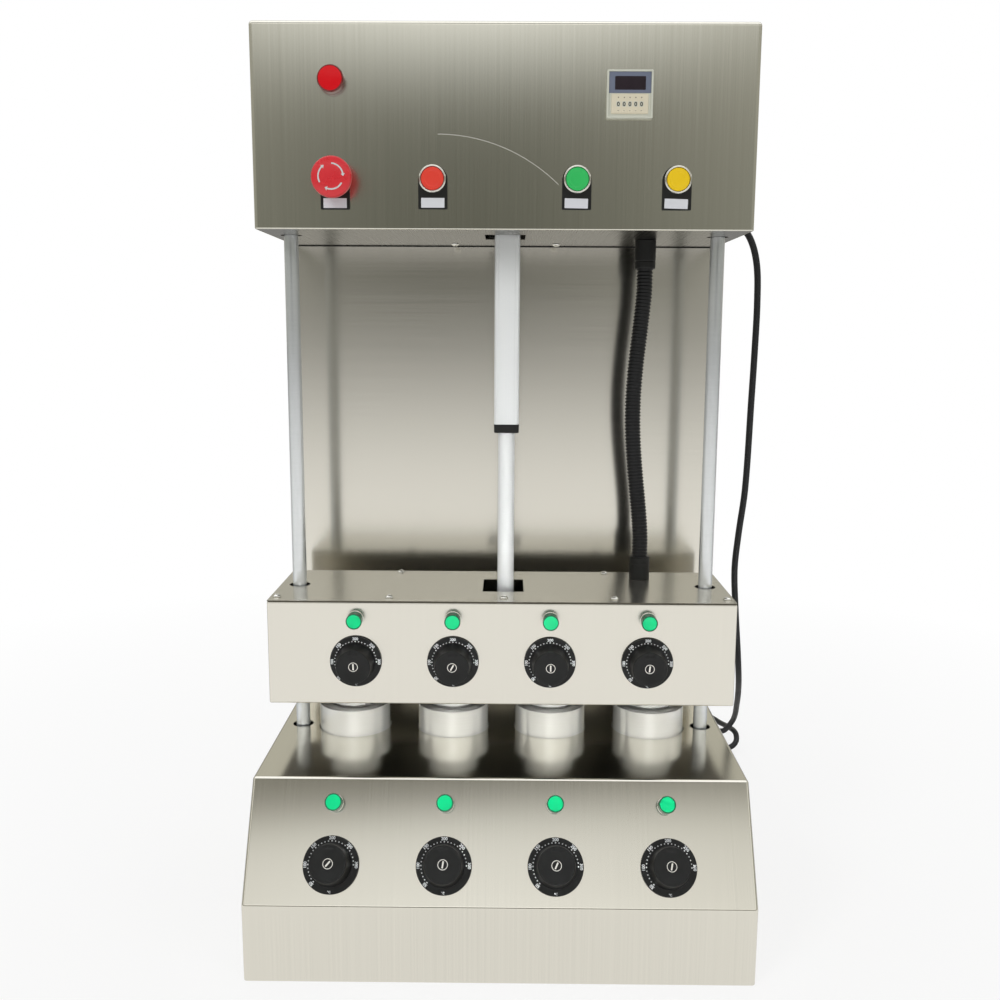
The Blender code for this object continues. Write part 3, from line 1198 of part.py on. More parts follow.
def supply_cord():
    """Cord from the gland, down behind the machine and in one loose loop on the counter to its plug."""
    drop = [(*place, share * GLAND_Z) for place, share in zip(CORD_DROP, CORD_DROP_HEIGHT_SHARES)]
    route = [Vector((GLAND_X + across, FRONT_Y + depth, z)) for across, depth, z in (*drop, *CORD_LAY)]
    points = smooth_route(route, CORD_STEP)
    piece("power_cord", tube_mesh("cord", points, [CORD_RADIUS] * len(points), 2), "cord_black")
    length = sum((far - near).length for near, far in zip(points, points[1:]))
    print(f"cord length {length:.3f} m in {len(points)} points")
    plug(points[-1], (points[-1] - points[-2]).normalized())


def plug(end, direction):
    """Plug at the cord's end: tapered tail, moulded body and flat blades."""
    turn = Vector((direction.x, direction.y, 0)).to_track_quat("Z", "Y").to_matrix().to_4x4()
    place = Matrix.Translation(end) @ turn
    body_start = GAP + PLUG_TAIL_LENGTH
    body_end = body_start + PLUG_LENGTH
    across, up, corner = PLUG_HALF_WIDTH, PLUG_HALF_HEIGHT, PLUG_CHAMFER
    outline = []
    for right, high in ((1, -1), (1, 1), (-1, 1), (-1, -1)):
        ends = [(right * (across - corner), high * up), (right * across, high * (up - corner))]
        outline += ends if right * high < 0 else ends[::-1]
    wide = (turn.inverted() @ Vector((0, 0, 1))).normalized()
    side = wide.cross(Vector((0, 0, 1)))
    rounded = [side * x + wide * z + Vector((0, 0, body_start)) for x, z in outline]
    body = shape(add_prism, rounded, (0, 0, PLUG_LENGTH))
    body.transform(place)
    made = piece("power_plug", body, "black_plastic")
    added = bmesh.new()
    add_rod(added, PLUG_TAIL_RADIUS, (0, 0, GAP), (0, 0, body_start + PLUG_CHAMFER), SMALL_SIDES)
    for offset in (-BLADE_SPREAD, 0, BLADE_SPREAD):
        low = side * (offset - BLADE_THICKNESS / 2) - wide * BLADE_WIDTH / 2
        high = side * (offset + BLADE_THICKNESS / 2) + wide * BLADE_WIDTH / 2
        ends = [low, Vector((*high.xy, 0))]
        near = Vector((min(v.x for v in ends), min(v.y for v in ends), body_end - PLUG_CHAMFER))
        far = Vector((max(v.x for v in ends), max(v.y for v in ends), body_end + BLADE_LENGTH))
        add_block(added, near, far)
    added.transform(place)
    shaped(made, "UNION", added)


def cord_gland():
    """Gland of the cord in the back panel, pointing to the rear."""
    inner = -SHEET - GAP
    profile = [
        (0, inner - GLAND_NUT_HEIGHT),
        (GLAND_NUT_RADIUS, inner - GLAND_NUT_HEIGHT),
        (GLAND_NUT_RADIUS, inner),
        (GLAND_NECK_RADIUS, inner),
        (GLAND_NECK_RADIUS, GAP),
        (GLAND_HEAD_RADIUS, GAP),
        (GLAND_HEAD_RADIUS, GLAND_HEAD_HEIGHT),
        (GLAND_DOME_RADIUS, GLAND_LENGTH),
        (0, GLAND_LENGTH),
    ]
    place = (GLAND_X, PANEL_Y + SHEET, GLAND_Z)
    piece("cord_gland", shape(add_turned, profile, TINY_SIDES), "black_plastic", place, -math.pi / 2)


def build():
    """Builds the whole machine, lowest parts first."""
    clear_scene()
    base_casing()
    base_floor()
    lower_moulds()
    slope_dials = [slope_point(x, BASE_DIAL_RISE) for x in BASE_CONTROL_X]
    slope_lamps = [slope_point(x, BASE_LAMP_RISE) for x in BASE_CONTROL_X]
    dials("lower", slope_dials, SLOPE_TILT)
    lamps("lower", slope_lamps, SLOPE_TILT)
    thermostat_bank("lower_thermostats", slope_dials, SLOPE_TILT)
    columns()
    back_panel()
    rear_cover("base_rear_cover", BASE_OPENING_WIDTH, BASE_COVER_Z, True)
    rear_cover("top_rear_cover", TOP_OPENING_WIDTH, TOP_COVER_Z, False)
    control_box()
    crosshead()

    carriage = frame_empty("carriage_slide", Vector((0, AXIS_Y, CARRIAGE_BOTTOM_Z)))
    actuator(carriage)
    carriage_casing(carriage)
    punch_plate(carriage)
    punches(carriage)
    dial_places = [head_point(x, CARRIAGE_DIAL_Z) - carriage.location for x in CARRIAGE_CONTROL_X]
    lamp_places = [head_point(x, CARRIAGE_LAMP_Z) - carriage.location for x in CARRIAGE_CONTROL_X]
    dials("upper", dial_places, UPRIGHT_TILT, carriage)
    lamps("upper", lamp_places, UPRIGHT_TILT, carriage)
    thermostat_bank("upper_thermostats", dial_places, UPRIGHT_TILT, carriage)

    push_buttons()
    stop_button()
    power_lamp()
    timer()
    hose_fittings(carriage)
    ribbed_hose()
    cord_gland()
    supply_cord()


build()
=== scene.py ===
"""Looks of the pizza cone machine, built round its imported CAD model.

Metres, +Z up, in the CAD model's frame: the user stands on the -Y side and X runs to the user's right.
Shapes are worked out in millimetres and turned to metres where they become a piece.
"""

import math

import bmesh
import bpy
import numpy as np
from mathutils import Matrix, Vector


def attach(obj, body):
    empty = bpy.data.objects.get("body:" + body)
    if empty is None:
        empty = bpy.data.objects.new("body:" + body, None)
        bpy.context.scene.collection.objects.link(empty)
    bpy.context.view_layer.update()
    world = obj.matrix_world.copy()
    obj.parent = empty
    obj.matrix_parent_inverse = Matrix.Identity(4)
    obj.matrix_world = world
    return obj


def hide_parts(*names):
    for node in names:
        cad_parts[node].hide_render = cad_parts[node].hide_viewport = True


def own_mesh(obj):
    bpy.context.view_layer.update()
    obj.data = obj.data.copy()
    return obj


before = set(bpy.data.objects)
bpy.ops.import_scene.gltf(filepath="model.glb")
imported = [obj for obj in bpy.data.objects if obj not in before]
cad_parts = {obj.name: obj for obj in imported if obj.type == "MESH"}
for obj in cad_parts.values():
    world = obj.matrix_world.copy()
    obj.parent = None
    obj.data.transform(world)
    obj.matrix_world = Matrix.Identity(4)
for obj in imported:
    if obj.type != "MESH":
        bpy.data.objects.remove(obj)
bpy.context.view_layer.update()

# Directions that a flat face may look in: columns are the piece's own x, y and outward z
UPWARD = np.eye(3)
FORWARD = np.array([[1, 0, 0], [0, 0, -1], [0, 1, 0]], float)
REARWARD = np.array([[-1, 0, 0], [0, 0, 1], [0, 1, 0]], float)
DOWNWARD = np.diag([1.0, -1.0, -1.0])
SLOPE_TILT = math.atan2(0.109, 0.0645)  # rise and run of the base's sloped face
SLOPE = np.array(
    [
        [1, 0, 0],
        [0, math.cos(SLOPE_TILT), -math.sin(SLOPE_TILT)],
        [0, math.sin(SLOPE_TILT), math.cos(SLOPE_TILT)],
    ]
)

# Main faces, edges and openings, in millimetres
FRONT_Y = -178.0
DECK_Y = -113.5
HEAD_Y = -36.0
AXIS_Y = 40.0
HOSE_Y = 83.0
PANEL_Y = 172.0
CREASE_Z = 82.0
DECK_Z = 191.0
LID_Z = 361.0
BOX_Z = 757.0
TOP_Z = 962.0
BASE_HALF = 260
BOX_HALF = 259
CARRIAGE_HALF = 258
PANEL_HALF = 263
CARRIAGE_DEPTH = 150
CARRIAGE_Z = 243.5
COVER_Z = (95, 868)
SHEET = 1.5
COLUMN_X = 236.0
COLUMN_HOLE = 11.75
HOSE_HOLE = 9.4
HOSE_TOP_X = 162
HOSE_LOW_X = 164.5
MOULD_X = (-173.5, -57.2, 57.2, 173.5)
BASE_CONTROL_X = (-171.6, -56.8, 56.8, 171.6)
CARRIAGE_CONTROL_X = (-160.8, -53.5, 53.5, 160.8)
ACTUATOR_X = 3.8
LID_OPENING = (1.25, 41.0, 46.5, 60.0)
FLOOR_OPENING = (1.25, 52.0, 44.6, 60.0)
# Edges that turn by more than this stay sharp
SHARP = math.radians(38)


# ---- camera and cord


def linked(name, data):
    """New object in the scene."""
    made = bpy.data.objects.new(name, data)
    bpy.context.scene.collection.objects.link(made)
    return made


def set_camera():
    """Camera at the photograph's place: 9.03 degrees down, 0.41 degrees to the left, 0.3 degrees of roll."""
    pitch, yaw, roll = (math.radians(a) for a in (9.033, -0.412, 0.298))
    ahead = Vector((math.sin(yaw) * math.cos(pitch), math.cos(yaw) * math.cos(pitch), -math.sin(pitch)))
    right = ahead.cross(Vector((0, 0, 1))).normalized()
    up = right.cross(ahead)
    turned_right = math.cos(roll) * right + math.sin(roll) * up
    turned_up = -math.sin(roll) * right + math.cos(roll) * up
    data = bpy.data.cameras.new("camera")
    data.sensor_width = 36.0
    data.lens = 37.755
    camera = linked("camera", data)
    columns = Matrix((turned_right, turned_up, -ahead)).transposed().to_4x4()
    camera.matrix_world = Matrix.Translation((0.0055, -1.1519, 0.6514)) @ columns
    bpy.context.scene.camera = camera


set_camera()

# Cord's centre line: x, distance behind FRONT_Y, and height, in millimetres
CORD_RADIUS = 4.25
CORD_ROUTE = (
    (235.0, 371.3, 845.0), (235.0, 398.0, 845.0), (239.0, 413.0, 842.0), (252.0, 423.0, 832.0),
    (273.0, 425.0, 815.0), (297.0, 421.0, 796.0), (315.0, 415.0, 775.0), (325.5, 415.0, 742.3),
    (328.4, 415.0, 694.4), (327.8, 415.0, 630.0), (326.2, 415.0, 565.9), (322.9, 415.0, 448.3),
    (316.5, 415.0, 385.0), (313.3, 415.0, 337.3), (317.0, 415.0, 280.0), (324.8, 424.0, 213.9),
    (338.0, 470.0, 157.0), (357.0, 560.0, 92.0), (368.5, 628.1, 45.0), (364.2, 653.5, 20.0),
    (359.2, 665.8, 10.0), (345.0, 684.0, 6.2), (320.0, 697.0, 4.9), (290.0, 704.0, 4.5),
    (255.0, 706.0, 4.4), (218.9, 708.0, 4.4), (187.2, 731.0, 4.4), (191.2, 775.0, 4.4),
    (237.0, 802.0, 4.4), (298.0, 795.0, 4.4), (336.0, 771.0, 4.4), (356.0, 743.0, 4.5),
    (366.0, 716.1, 5.2), (373.7, 684.2, 10.0), (373.1, 628.7, 21.0), (370.6, 611.4, 15.0),
    (362.3, 603.9, 9.0), (338.0, 592.0, 5.8), (310.0, 584.0, 4.7), (270.0, 574.0, 4.4),
    (220.0, 564.0, 4.4), (160.0, 557.0, 4.4),
    (110.0, 554.0, 6.0), (85.0, 553.0, 9.8), (65.0, 552.5, 11.9), (48.0, 552.5, 12.0),
)


# ---- shapes: (points, faces) in millimetres


def bent(points, bend, inset=0.0, closed=True):
    """Outline with rounded corners, moved inwards. At each corner of turn t the line follows an arc about the point
    that lies the bend's radius inside both sides, from one side's normal to the next; its radius is the bend's less
    the inset where the corner is convex, and the bend's plus the inset where it isn't. Inwards is to the left."""
    points = np.asarray(points, float)
    bends = np.broadcast_to(np.asarray(bend, float), len(points))
    runs = np.roll(points, -1, axis=0) - points
    runs /= np.linalg.norm(runs, axis=1)[:, None]
    left = np.stack([-runs[:, 1], runs[:, 0]], axis=1)
    parts = []
    for i, point in enumerate(points):
        if not closed and i in (0, len(points) - 1):
            parts.append((point + left[i if i == 0 else i - 1] * inset)[None])
            continue
        before, after = runs[i - 1], runs[i]
        turn = math.atan2(before[0] * after[1] - before[1] * after[0], before @ after)
        sign = math.copysign(1.0, turn)
        centre = point - before * bends[i] * math.tan(abs(turn) / 2) + sign * left[i - 1] * bends[i]
        angle = np.linspace(0, turn, 6)
        normal = np.stack(
            [
                left[i - 1][0] * np.cos(angle) - left[i - 1][1] * np.sin(angle),
                left[i - 1][0] * np.sin(angle) + left[i - 1][1] * np.cos(angle),
            ],
            axis=1,
        )
        parts.append(centre - sign * normal * (bends[i] - sign * inset))
    return np.concatenate(parts)


def quarter(radius, steps=5):
    """(inset, drop) pairs of a rounded edge: inset r(1 - cos a) and drop r(1 - sin a) as a goes through 90 degrees."""
    angle = np.linspace(0, math.pi / 2, steps + 1)
    return np.stack([radius * (1 - np.cos(angle)), radius * (1 - np.sin(angle))], axis=1)


def lofted(rings, closed=True, caps=(True, True), skip=0):
    """Skin over rings of points, shape (rings, points, 3): quads join point k and k + 1 of each ring to the same two
    of the next ring, and a flat face closes each end ring. The last `skip` points of an open ring only end caps use."""
    rings = np.asarray(rings, float)
    count, size = rings.shape[:2]
    step = np.arange(size if closed else size - 1 - skip)
    after = (step + 1) % size
    start = np.arange(count - 1)[:, None] * size
    quads = np.stack([start + step, start + after, start + size + after, start + size + step], axis=-1)
    faces = quads.reshape(-1, 4).tolist()
    if caps[0]:
        faces.append(list(range(size))[::-1])
    if caps[1]:
        faces.append([(count - 1) * size + i for i in range(size)])
    return rings.reshape(-1, 3), faces


def stacked(outline, profile, **settings):
    """Rings of one outline function at each (inset, height) of a profile, along the piece's own z."""
    rings = [np.insert(outline(inset), 2, height, axis=1) for inset, height in profile]
    return lofted(np.stack(rings), **settings)


def softened(profile, radius, steps=4):
    """Profile of (radius, height) points with its inner corners rounded, as far as half the shorter side allows."""
    points = np.asarray(profile, float)
    made = [points[0]]
    for before, point, after in zip(points, points[1:], points[2:]):
        into, out = point - before, after - point
        reach = min(radius, 0.45 * np.linalg.norm(into), 0.45 * np.linalg.norm(out))
        start = point - into / np.linalg.norm(into) * reach
        end = point + out / np.linalg.norm(out) * reach
        t = np.linspace(0, 1, steps + 1)[:, None]
        made.extend(start * (1 - t) ** 2 + point * 2 * t * (1 - t) + end * t**2)
    return np.array([*made, points[-1]])


def turned(profile, sides=64, soft=0.0, ripple=None, ends=True):
    """Body of revolution: each (r, h) of the profile becomes a ring (r cos a, r sin a, h). A ripple function of the
    angle and the height is added to r. Ends that aren't on the axis are closed flat unless they are left open."""
    profile = softened(profile, soft) if soft else np.asarray(profile, float)
    angle = np.arange(sides) * (2 * math.pi / sides)
    height = np.repeat(profile[:, 1:], sides, axis=1)
    radius = np.repeat(profile[:, :1], sides, axis=1)
    if ripple is not None:
        radius = radius + ripple(angle[None], height)
    rings = np.stack([radius * np.cos(angle), radius * np.sin(angle), height], axis=-1)
    return lofted(rings, caps=(ends and profile[0, 0] > 0, ends and profile[-1, 0] > 0))


def rectangle(x, y, bend, inset=0.0, centre=(0.0, 0.0)):
    """Rounded rectangle that reaches x and y to each side of its centre."""
    return bent(np.add([(-x, -y), (x, -y), (x, y), (-x, y)], centre), bend, inset)


def rounded_rim(height, radius, steps=5):
    """Profile points of an upper rim rounded by a radius."""
    return [(inset, height - drop) for inset, drop in quarter(radius, steps)]


def plate(width, height, low, high, corner=1.0, edge=0.3, centre=(0.0, 0.0)):
    """Rounded rectangle from one height to another, with its upper rim rounded too."""
    outline = lambda inset: rectangle(width / 2, height / 2, corner, inset, centre)
    return stacked(outline, [(0, low), *rounded_rim(high, min(edge, corner), 3)])


def tube(path, radii, sides):
    """Round tube along a path: a circle of the given radius stands square to the path at each point, in a frame that
    is carried along without twisting."""
    path = np.asarray(path, float)
    radii = np.broadcast_to(np.asarray(radii, float), len(path))
    along = np.gradient(path, axis=0)
    along /= np.linalg.norm(along, axis=1)[:, None]
    side = np.cross(along[0], [0.0, 0.0, 1.0] if abs(along[0][2]) < 0.9 else [1.0, 0.0, 0.0])
    sides_at = []
    for direction in along:
        side = side - direction * (side @ direction)
        side /= np.linalg.norm(side)
        sides_at.append(side)
    first = np.array(sides_at)
    second = np.cross(along, first)
    angle = np.arange(sides) * (2 * math.pi / sides)
    circle = np.cos(angle)[None, :, None] * first[:, None] + np.sin(angle)[None, :, None] * second[:, None]
    return lofted(path[:, None] + circle * radii[:, None, None])


def joined(*shapes):
    """Several shapes as one."""
    points, faces, start = [], [], 0
    for these, those in shapes:
        points.append(these)
        faces += [[index + start for index in face] for face in those]
        start += len(these)
    return np.concatenate(points), faces


def flipped(shape):
    """A shape with its faces turned inside out."""
    return shape[0], [face[::-1] for face in shape[1]]


def put(shape, at=(0, 0, 0), facing=UPWARD, spin=0.0):
    """A shape spun about its own z, then turned to the way it faces and moved to its place."""
    cos, sin = math.cos(spin), math.sin(spin)
    turn = np.asarray(facing) @ np.array([[cos, -sin, 0], [sin, cos, 0], [0, 0, 1]])
    return np.asarray(shape[0]) @ turn.T + np.asarray(at, float), shape[1]


def on_slope(x, rise):
    """Point of the base's sloped face, by its distance up from the crease."""
    return (x, FRONT_Y + rise * math.cos(SLOPE_TILT), CREASE_Z + rise * math.sin(SLOPE_TILT))


def glyphs(text, height):
    """Plain figures as a thin solid shape, as tall as asked, centred on the origin and facing +z."""
    curve = bpy.data.curves.new("figures", "FONT")
    curve.body = text
    curve.align_x, curve.align_y = "CENTER", "CENTER"
    curve.extrude = 0.04
    curve.resolution_u = 3
    curve.offset = 0.03
    holder = bpy.data.objects.new("figures", curve)
    mesh = bpy.data.meshes.new_from_object(holder)
    points = np.zeros(len(mesh.vertices) * 3)
    mesh.vertices.foreach_get("co", points)
    points = points.reshape(-1, 3)
    faces = [list(face.vertices) for face in mesh.polygons]
    bpy.data.objects.remove(holder)
    bpy.data.curves.remove(curve)
    bpy.data.meshes.remove(mesh)
    low, high = points.min(axis=0), points.max(axis=0)
    size = height / (high[1] - low[1])
    points = (points - (low + high) / 2) * size
    points[:, 2] *= 0.12 / max(np.ptp(points[:, 2]), 1e-6)
    return points, faces


def shaded(mesh):
    """A mesh shaded smooth but for its sharp edges."""
    mesh.shade_smooth()
    mesh.set_sharp_from_angle(angle=SHARP)
    return mesh


def mesh_of(name, shape):
    """Mesh of a shape, in metres, with its doubles merged and its loose points removed."""
    points, faces = shape
    mesh = bpy.data.meshes.new(name)
    mesh.from_pydata((np.asarray(points) / 1000).tolist(), [], faces)
    bm = bmesh.new()
    bm.from_mesh(mesh)
    bmesh.ops.remove_doubles(bm, verts=bm.verts, dist=2e-6)
    bmesh.ops.delete(bm, geom=[v for v in bm.verts if not v.link_faces], context="VERTS")
    bm.to_mesh(mesh)
    bm.free()
    return shaded(mesh)


def settled(made):
    """Applies a piece's modifiers to its mesh."""
    graph = bpy.context.evaluated_depsgraph_get()
    mesh = bpy.data.meshes.new_from_object(made.evaluated_get(graph))
    made.modifiers.clear()
    made.data = shaded(mesh)


def piece(name, shape, finish, body, slot=None, node=None, wall=0.0, cuts=None, rim=0.0):
    """One piece of the machine: its wall thickened inwards, its holes cut, its rims rounded, and then dressed."""
    made = linked(name, mesh_of(name, shape))
    if wall:
        step = made.modifiers.new("wall", "SOLIDIFY")
        step.thickness = wall / 1000
        step.offset = -1
        step.use_even_offset = True
    if cuts is not None:
        cutter = linked(name + "_cutter", mesh_of(name + "_cutter", cuts))
        step = made.modifiers.new("holes", "BOOLEAN")
        step.operation, step.solver, step.object = "DIFFERENCE", "EXACT", cutter
        settled(made)
        bpy.data.objects.remove(cutter)
    if rim:
        step = made.modifiers.new("rims", "BEVEL")
        step.width = rim / 1000
        step.segments = 2
        step.limit_method, step.angle_limit = "ANGLE", math.radians(50)
    if made.modifiers:
        settled(made)
    smooth = made.modifiers.new("shading", "WEIGHTED_NORMAL")
    smooth.keep_sharp = True
    made.data.materials.clear()
    made.data.materials.append(finish)
    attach(made, body)
    if node:
        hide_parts(node)
    return made


def rods(radius, places, low, high, sides=64):
    """Upright cutting rods of one radius."""
    one = turned([(radius, low), (radius, high)], sides)
    return [put(one, (x, y, 0)) for x, y in places]


def column_rods(low, high):
    """Cutting rods for the holes that the columns pass through."""
    return rods(COLUMN_HOLE, [(side * COLUMN_X, AXIS_Y) for side in (-1, 1)], low, high)


def passage(opening, height):
    """Cutting block for the actuator's opening (x, y, width, depth) in a sheet."""
    x, y, width, depth = opening
    return put(plate(width, depth, -20, 20, 0.6, 0.1), (x, y, height))


def paint_shade_on(made, chosen):
    """Gives a piece's chosen faces the darker steel that paints shade on them."""
    made.data.materials.append(painted_shade_steel)
    for face in made.data.polygons:
        face.material_index = int(chosen(face))


# ---- finishes


def linear(code):
    """Linear colour of an sRGB hex value."""
    parts = [int(code[i : i + 2], 16) / 255 for i in (1, 3, 5)]
    return [c / 12.92 if c <= 0.04045 else ((c + 0.055) / 1.055) ** 2.4 for c in parts] + [1.0]


def add(tree, kind, links=None, **settings):
    """Adds a node with its settings; links gives inputs another node's output or a value."""
    node = tree.nodes.new("ShaderNode" + kind)
    for name, value in settings.items():
        setattr(node, name, value)
    for name, value in (links or {}).items():
        if isinstance(value, bpy.types.NodeSocket):
            tree.links.new(value, node.inputs[name])
        else:
            node.inputs[name].default_value = value
    return node


def begin(name, **shader_values):
    """New material with its surface shader; names are the shader's inputs with underscores for spaces."""
    made = bpy.data.materials.new(name)
    made.use_nodes = True
    tree = made.node_tree
    shader = tree.nodes["Principled BSDF"]
    for key, value in shader_values.items():
        shader.inputs[key.replace("_", " ")].default_value = value
    return made, tree, shader


def calc(tree, operation, *values):
    """Result of one operation on its values."""
    return add(tree, "Math", dict(enumerate(values)), operation=operation).outputs[0]


def ranged(tree, value, low=0.0, high=1.0, start=0.0, end=1.0, **settings):
    """Value carried from low..high to start..end, and held at both ends."""
    limits = {"Value": value, "From Min": low, "From Max": high, "To Min": start, "To Max": end}
    return add(tree, "MapRange", limits, **settings).outputs[0]


def feed(tree, shader, **links):
    """Links node outputs to the shader's inputs, named as in begin."""
    for key, value in links.items():
        tree.links.new(value, shader.inputs[key.replace("_", " ")])


def mixed(tree, amount, dark, light):
    """Colour between two others by an amount."""
    node = add(tree, "Mix", {"Factor": amount}, data_type="RGBA")
    for socket, value in ((node.inputs[6], dark), (node.inputs[7], light)):
        if isinstance(value, bpy.types.NodeSocket):
            tree.links.new(value, socket)
        else:
            socket.default_value = value
    return node.outputs[2]


def stretched(tree, source, spacing, detail=2.0):
    """Noise whose grains are spacing = (x, y, z) millimetres apart."""
    scaled = add(tree, "Mapping", {"Vector": source, "Scale": [1000 / s for s in spacing]})
    return add(tree, "TexNoise", {"Vector": scaled.outputs[0], "Scale": 1.0, "Detail": detail}).outputs["Fac"]


def brushed_steel(name, grain, spread, roughness, anisotropy, tints=("#e0ddd4", "#e5e2d9"), scratch=False):
    """Stainless steel sheet, brushed with a belt: fine parallel lines, drawn 0.9 mm apart because the real 0.1 mm ones
    don't show, faint broader streaks and clouds. The lines run level, upright over the folds, or crosswise. They spread
    a reflection square to themselves, along `spread`."""
    made, tree, shader = begin(name, Metallic=1.0, Anisotropic=anisotropy)
    place = add(tree, "TexCoord").outputs["Object"]
    x, y, z = add(tree, "SeparateXYZ", {0: place}).outputs
    facing = add(tree, "SeparateXYZ", {0: add(tree, "NewGeometry").outputs["Normal"]}).outputs["X"]
    onside = calc(tree, "GREATER_THAN", calc(tree, "ABSOLUTE", facing), 0.7)
    girth = calc(tree, "ADD", y, z)
    level = add(tree, "Mix", {0: onside, 2: x, 3: y}).outputs[0]
    upright = add(tree, "Mix", {0: onside, 2: girth, 3: z}).outputs[0]
    across, along = {"upright": (level, upright), "level": (upright, level), "crosswise": (y, x)}[grain]
    sheet = add(tree, "CombineXYZ", {0: across, 1: along, 2: 0.0}).outputs[0]
    hair = stretched(tree, sheet, (0.9, 260, 1), 2.0)
    streak = stretched(tree, sheet, (2.6, 1200, 1), 3.0)
    cloud = stretched(tree, place, (120, 120, 120), 2.0)
    amount = ranged(tree, calc(tree, "ADD", hair, streak), 0.7, 1.3)
    dark, light = linear(tints[0]), linear(tints[1])
    shade = mixed(tree, amount, dark, light)
    colour = mixed(tree, cloud, shade, [(a + b) / 2 for a, b in zip(dark, light)])
    if scratch:
        mark = scratch_mark(tree, place)
        colour = mixed(tree, mark, colour, linear("#fffdf4"))
        feed(tree, shader, Metallic=ranged(tree, mark, 0.0, 1.0, 1.0, 0.5))
    rough = ranged(tree, hair, 0.3, 0.7, roughness * 0.94, roughness * 1.06)
    direction = add(tree, "CombineXYZ", dict(enumerate(spread))).outputs[0]
    feed(tree, shader, Base_Color=colour, Roughness=rough, Tangent=direction)
    return made


def scratch_mark(tree, place):
    """One long shallow scratch: where a face point lies within 0.7 mm of a circle's arc, from -68 mm to 56 mm in X."""
    x, _, z = add(tree, "SeparateXYZ", {0: place}).outputs
    flat = add(tree, "CombineXYZ", {0: x, 1: z, 2: 0.0}).outputs[0]
    away = add(tree, "VectorMath", {0: flat, 1: (-0.068, 0.672, 0.0)}, operation="DISTANCE").outputs["Value"]
    near = calc(tree, "ABSOLUTE", calc(tree, "SUBTRACT", away, 0.180))
    line = ranged(tree, near, 0.0, 0.0007, 0.9, 0.0)
    begins, ends = calc(tree, "GREATER_THAN", x, -0.068), calc(tree, "LESS_THAN", x, 0.056)
    upper = calc(tree, "GREATER_THAN", z, 0.70)
    span = calc(tree, "MULTIPLY", calc(tree, "MULTIPLY", begins, ends), upper)
    return calc(tree, "MULTIPLY", line, span)


def turned_metal(name, colours, roughness, pitch, metallic=1.0, anisotropic=0.0):
    """Machined or drawn metal: tool marks that run round the piece or square to its length, `pitch` mm apart."""
    made, tree, shader = begin(name, Metallic=metallic, Anisotropic=anisotropic)
    place = add(tree, "TexCoord").outputs["Object"]
    marks = stretched(tree, place, pitch, 3.0)
    wear = stretched(tree, place, (25, 25, 25), 3.0)
    colour = mixed(tree, marks, *map(linear, colours))
    rough = ranged(tree, calc(tree, "ADD", marks, wear), 0.6, 1.4, *roughness)
    direction = add(tree, "CombineXYZ", {0: 0.03, 1: 0.02, 2: 1.0}).outputs[0]
    feed(tree, shader, Base_Color=colour, Roughness=rough, Tangent=direction)
    return made


def moulded(name, colour, roughness, grain, shade, **shader_values):
    """Moulded plastic or rubber: a fine mould texture, `grain` mm across, slight flow marks and handling gloss."""
    made, tree, shader = begin(name, **shader_values)
    place = add(tree, "TexCoord").outputs["Object"]
    texture = stretched(tree, place, (grain,) * 3, 2.0)
    flow = stretched(tree, place, (18, 18, 18), 3.0)
    pale = linear(colour)
    tint = mixed(tree, flow, [c * shade for c in pale[:3]] + [1.0], pale)
    rough = ranged(tree, flow, 0.35, 0.65, *roughness)
    bump = add(tree, "Bump", {"Height": texture, "Strength": 0.25, "Distance": 0.00003}).outputs[0]
    feed(tree, shader, Base_Color=tint, Roughness=rough, Normal=bump)
    return made


# Belt-brushed stainless sheet, satin grey: its grain is upright on the folded casings, level on the rear panel and
# crosswise on the lid
SIDEWAYS = (0.9, 0.43, 0.03)
box_brushed = brushed_steel(
    "stainless_brushed_box", "upright", SIDEWAYS, 0.17, 0.9, ("#dad8cd", "#e8e6dc"), scratch=True
)
carriage_brushed = brushed_steel("stainless_brushed_carriage", "upright", SIDEWAYS, 0.2, 0.8)
base_brushed = brushed_steel("stainless_brushed_base", "upright", SIDEWAYS, 0.145, 0.65, ("#dbd8ce", "#e4e1d7"))
level_brushed = brushed_steel("stainless_brushed_rear", "level", (0.04, 0.06, 1.0), 0.16, 0.75)
lid_brushed = brushed_steel("stainless_brushed_crosswise", "crosswise", (0.03, 1.0, 0.05), 0.25, 0.8)
# Stainless sheet, less brushed and duller, painted darker on the control box's underside: painted shade on that
# downward face
underside_shade_steel = brushed_steel("stainless_underside_painted_shade", "upright", SIDEWAYS, 0.28, 0.2, ("#66635a", "#6e6b62"))
# The same sheet made brown-grey and dull: painted shade on the carriage's underside, the lid's edges and the lower
# edges of the punches' collars
painted_shade_steel = brushed_steel("stainless_painted_shade", "upright", SIDEWAYS, 0.35, 0.2, ("#625e55", "#6b675d"))
# Rolled steel plate inside the machine: grey, slightly mottled
plain_steel = turned_metal("steel_plate_rolled", ("#77766f", "#8f8e87"), (0.38, 0.52), (6, 6, 6))
# Machined aluminium: fine turning rings, so upright reflections are drawn out
machined_aluminium = turned_metal(
    "aluminium_turned", ("#ebebe7", "#f6f6f3"), (0.17, 0.21), (90, 90, 0.5), metallic=0.6, anisotropic=0.4
)
# Extruded and silver anodised aluminium: pale, satin, with faint drawing lines along it
anodised_aluminium = turned_metal(
    "aluminium_anodised", ("#e4e6e6", "#eceeee"), (0.36, 0.42), (0.8, 0.8, 200), metallic=0.3
)
# Ground and hard-chromed steel: clear blue-grey mirror with a few lines round it
chromed_steel = turned_metal(
    "steel_chromed_ground", ("#d2d5d6", "#dcdfe0"), (0.10, 0.15), (60, 60, 1.2), metallic=0.65, anisotropic=0.2
)
# Nickel-plated brass trim and screws
plated_steel = turned_metal("steel_nickel_plated", ("#e2e1db", "#f4f3ee"), (0.07, 0.13), (2, 2, 2))
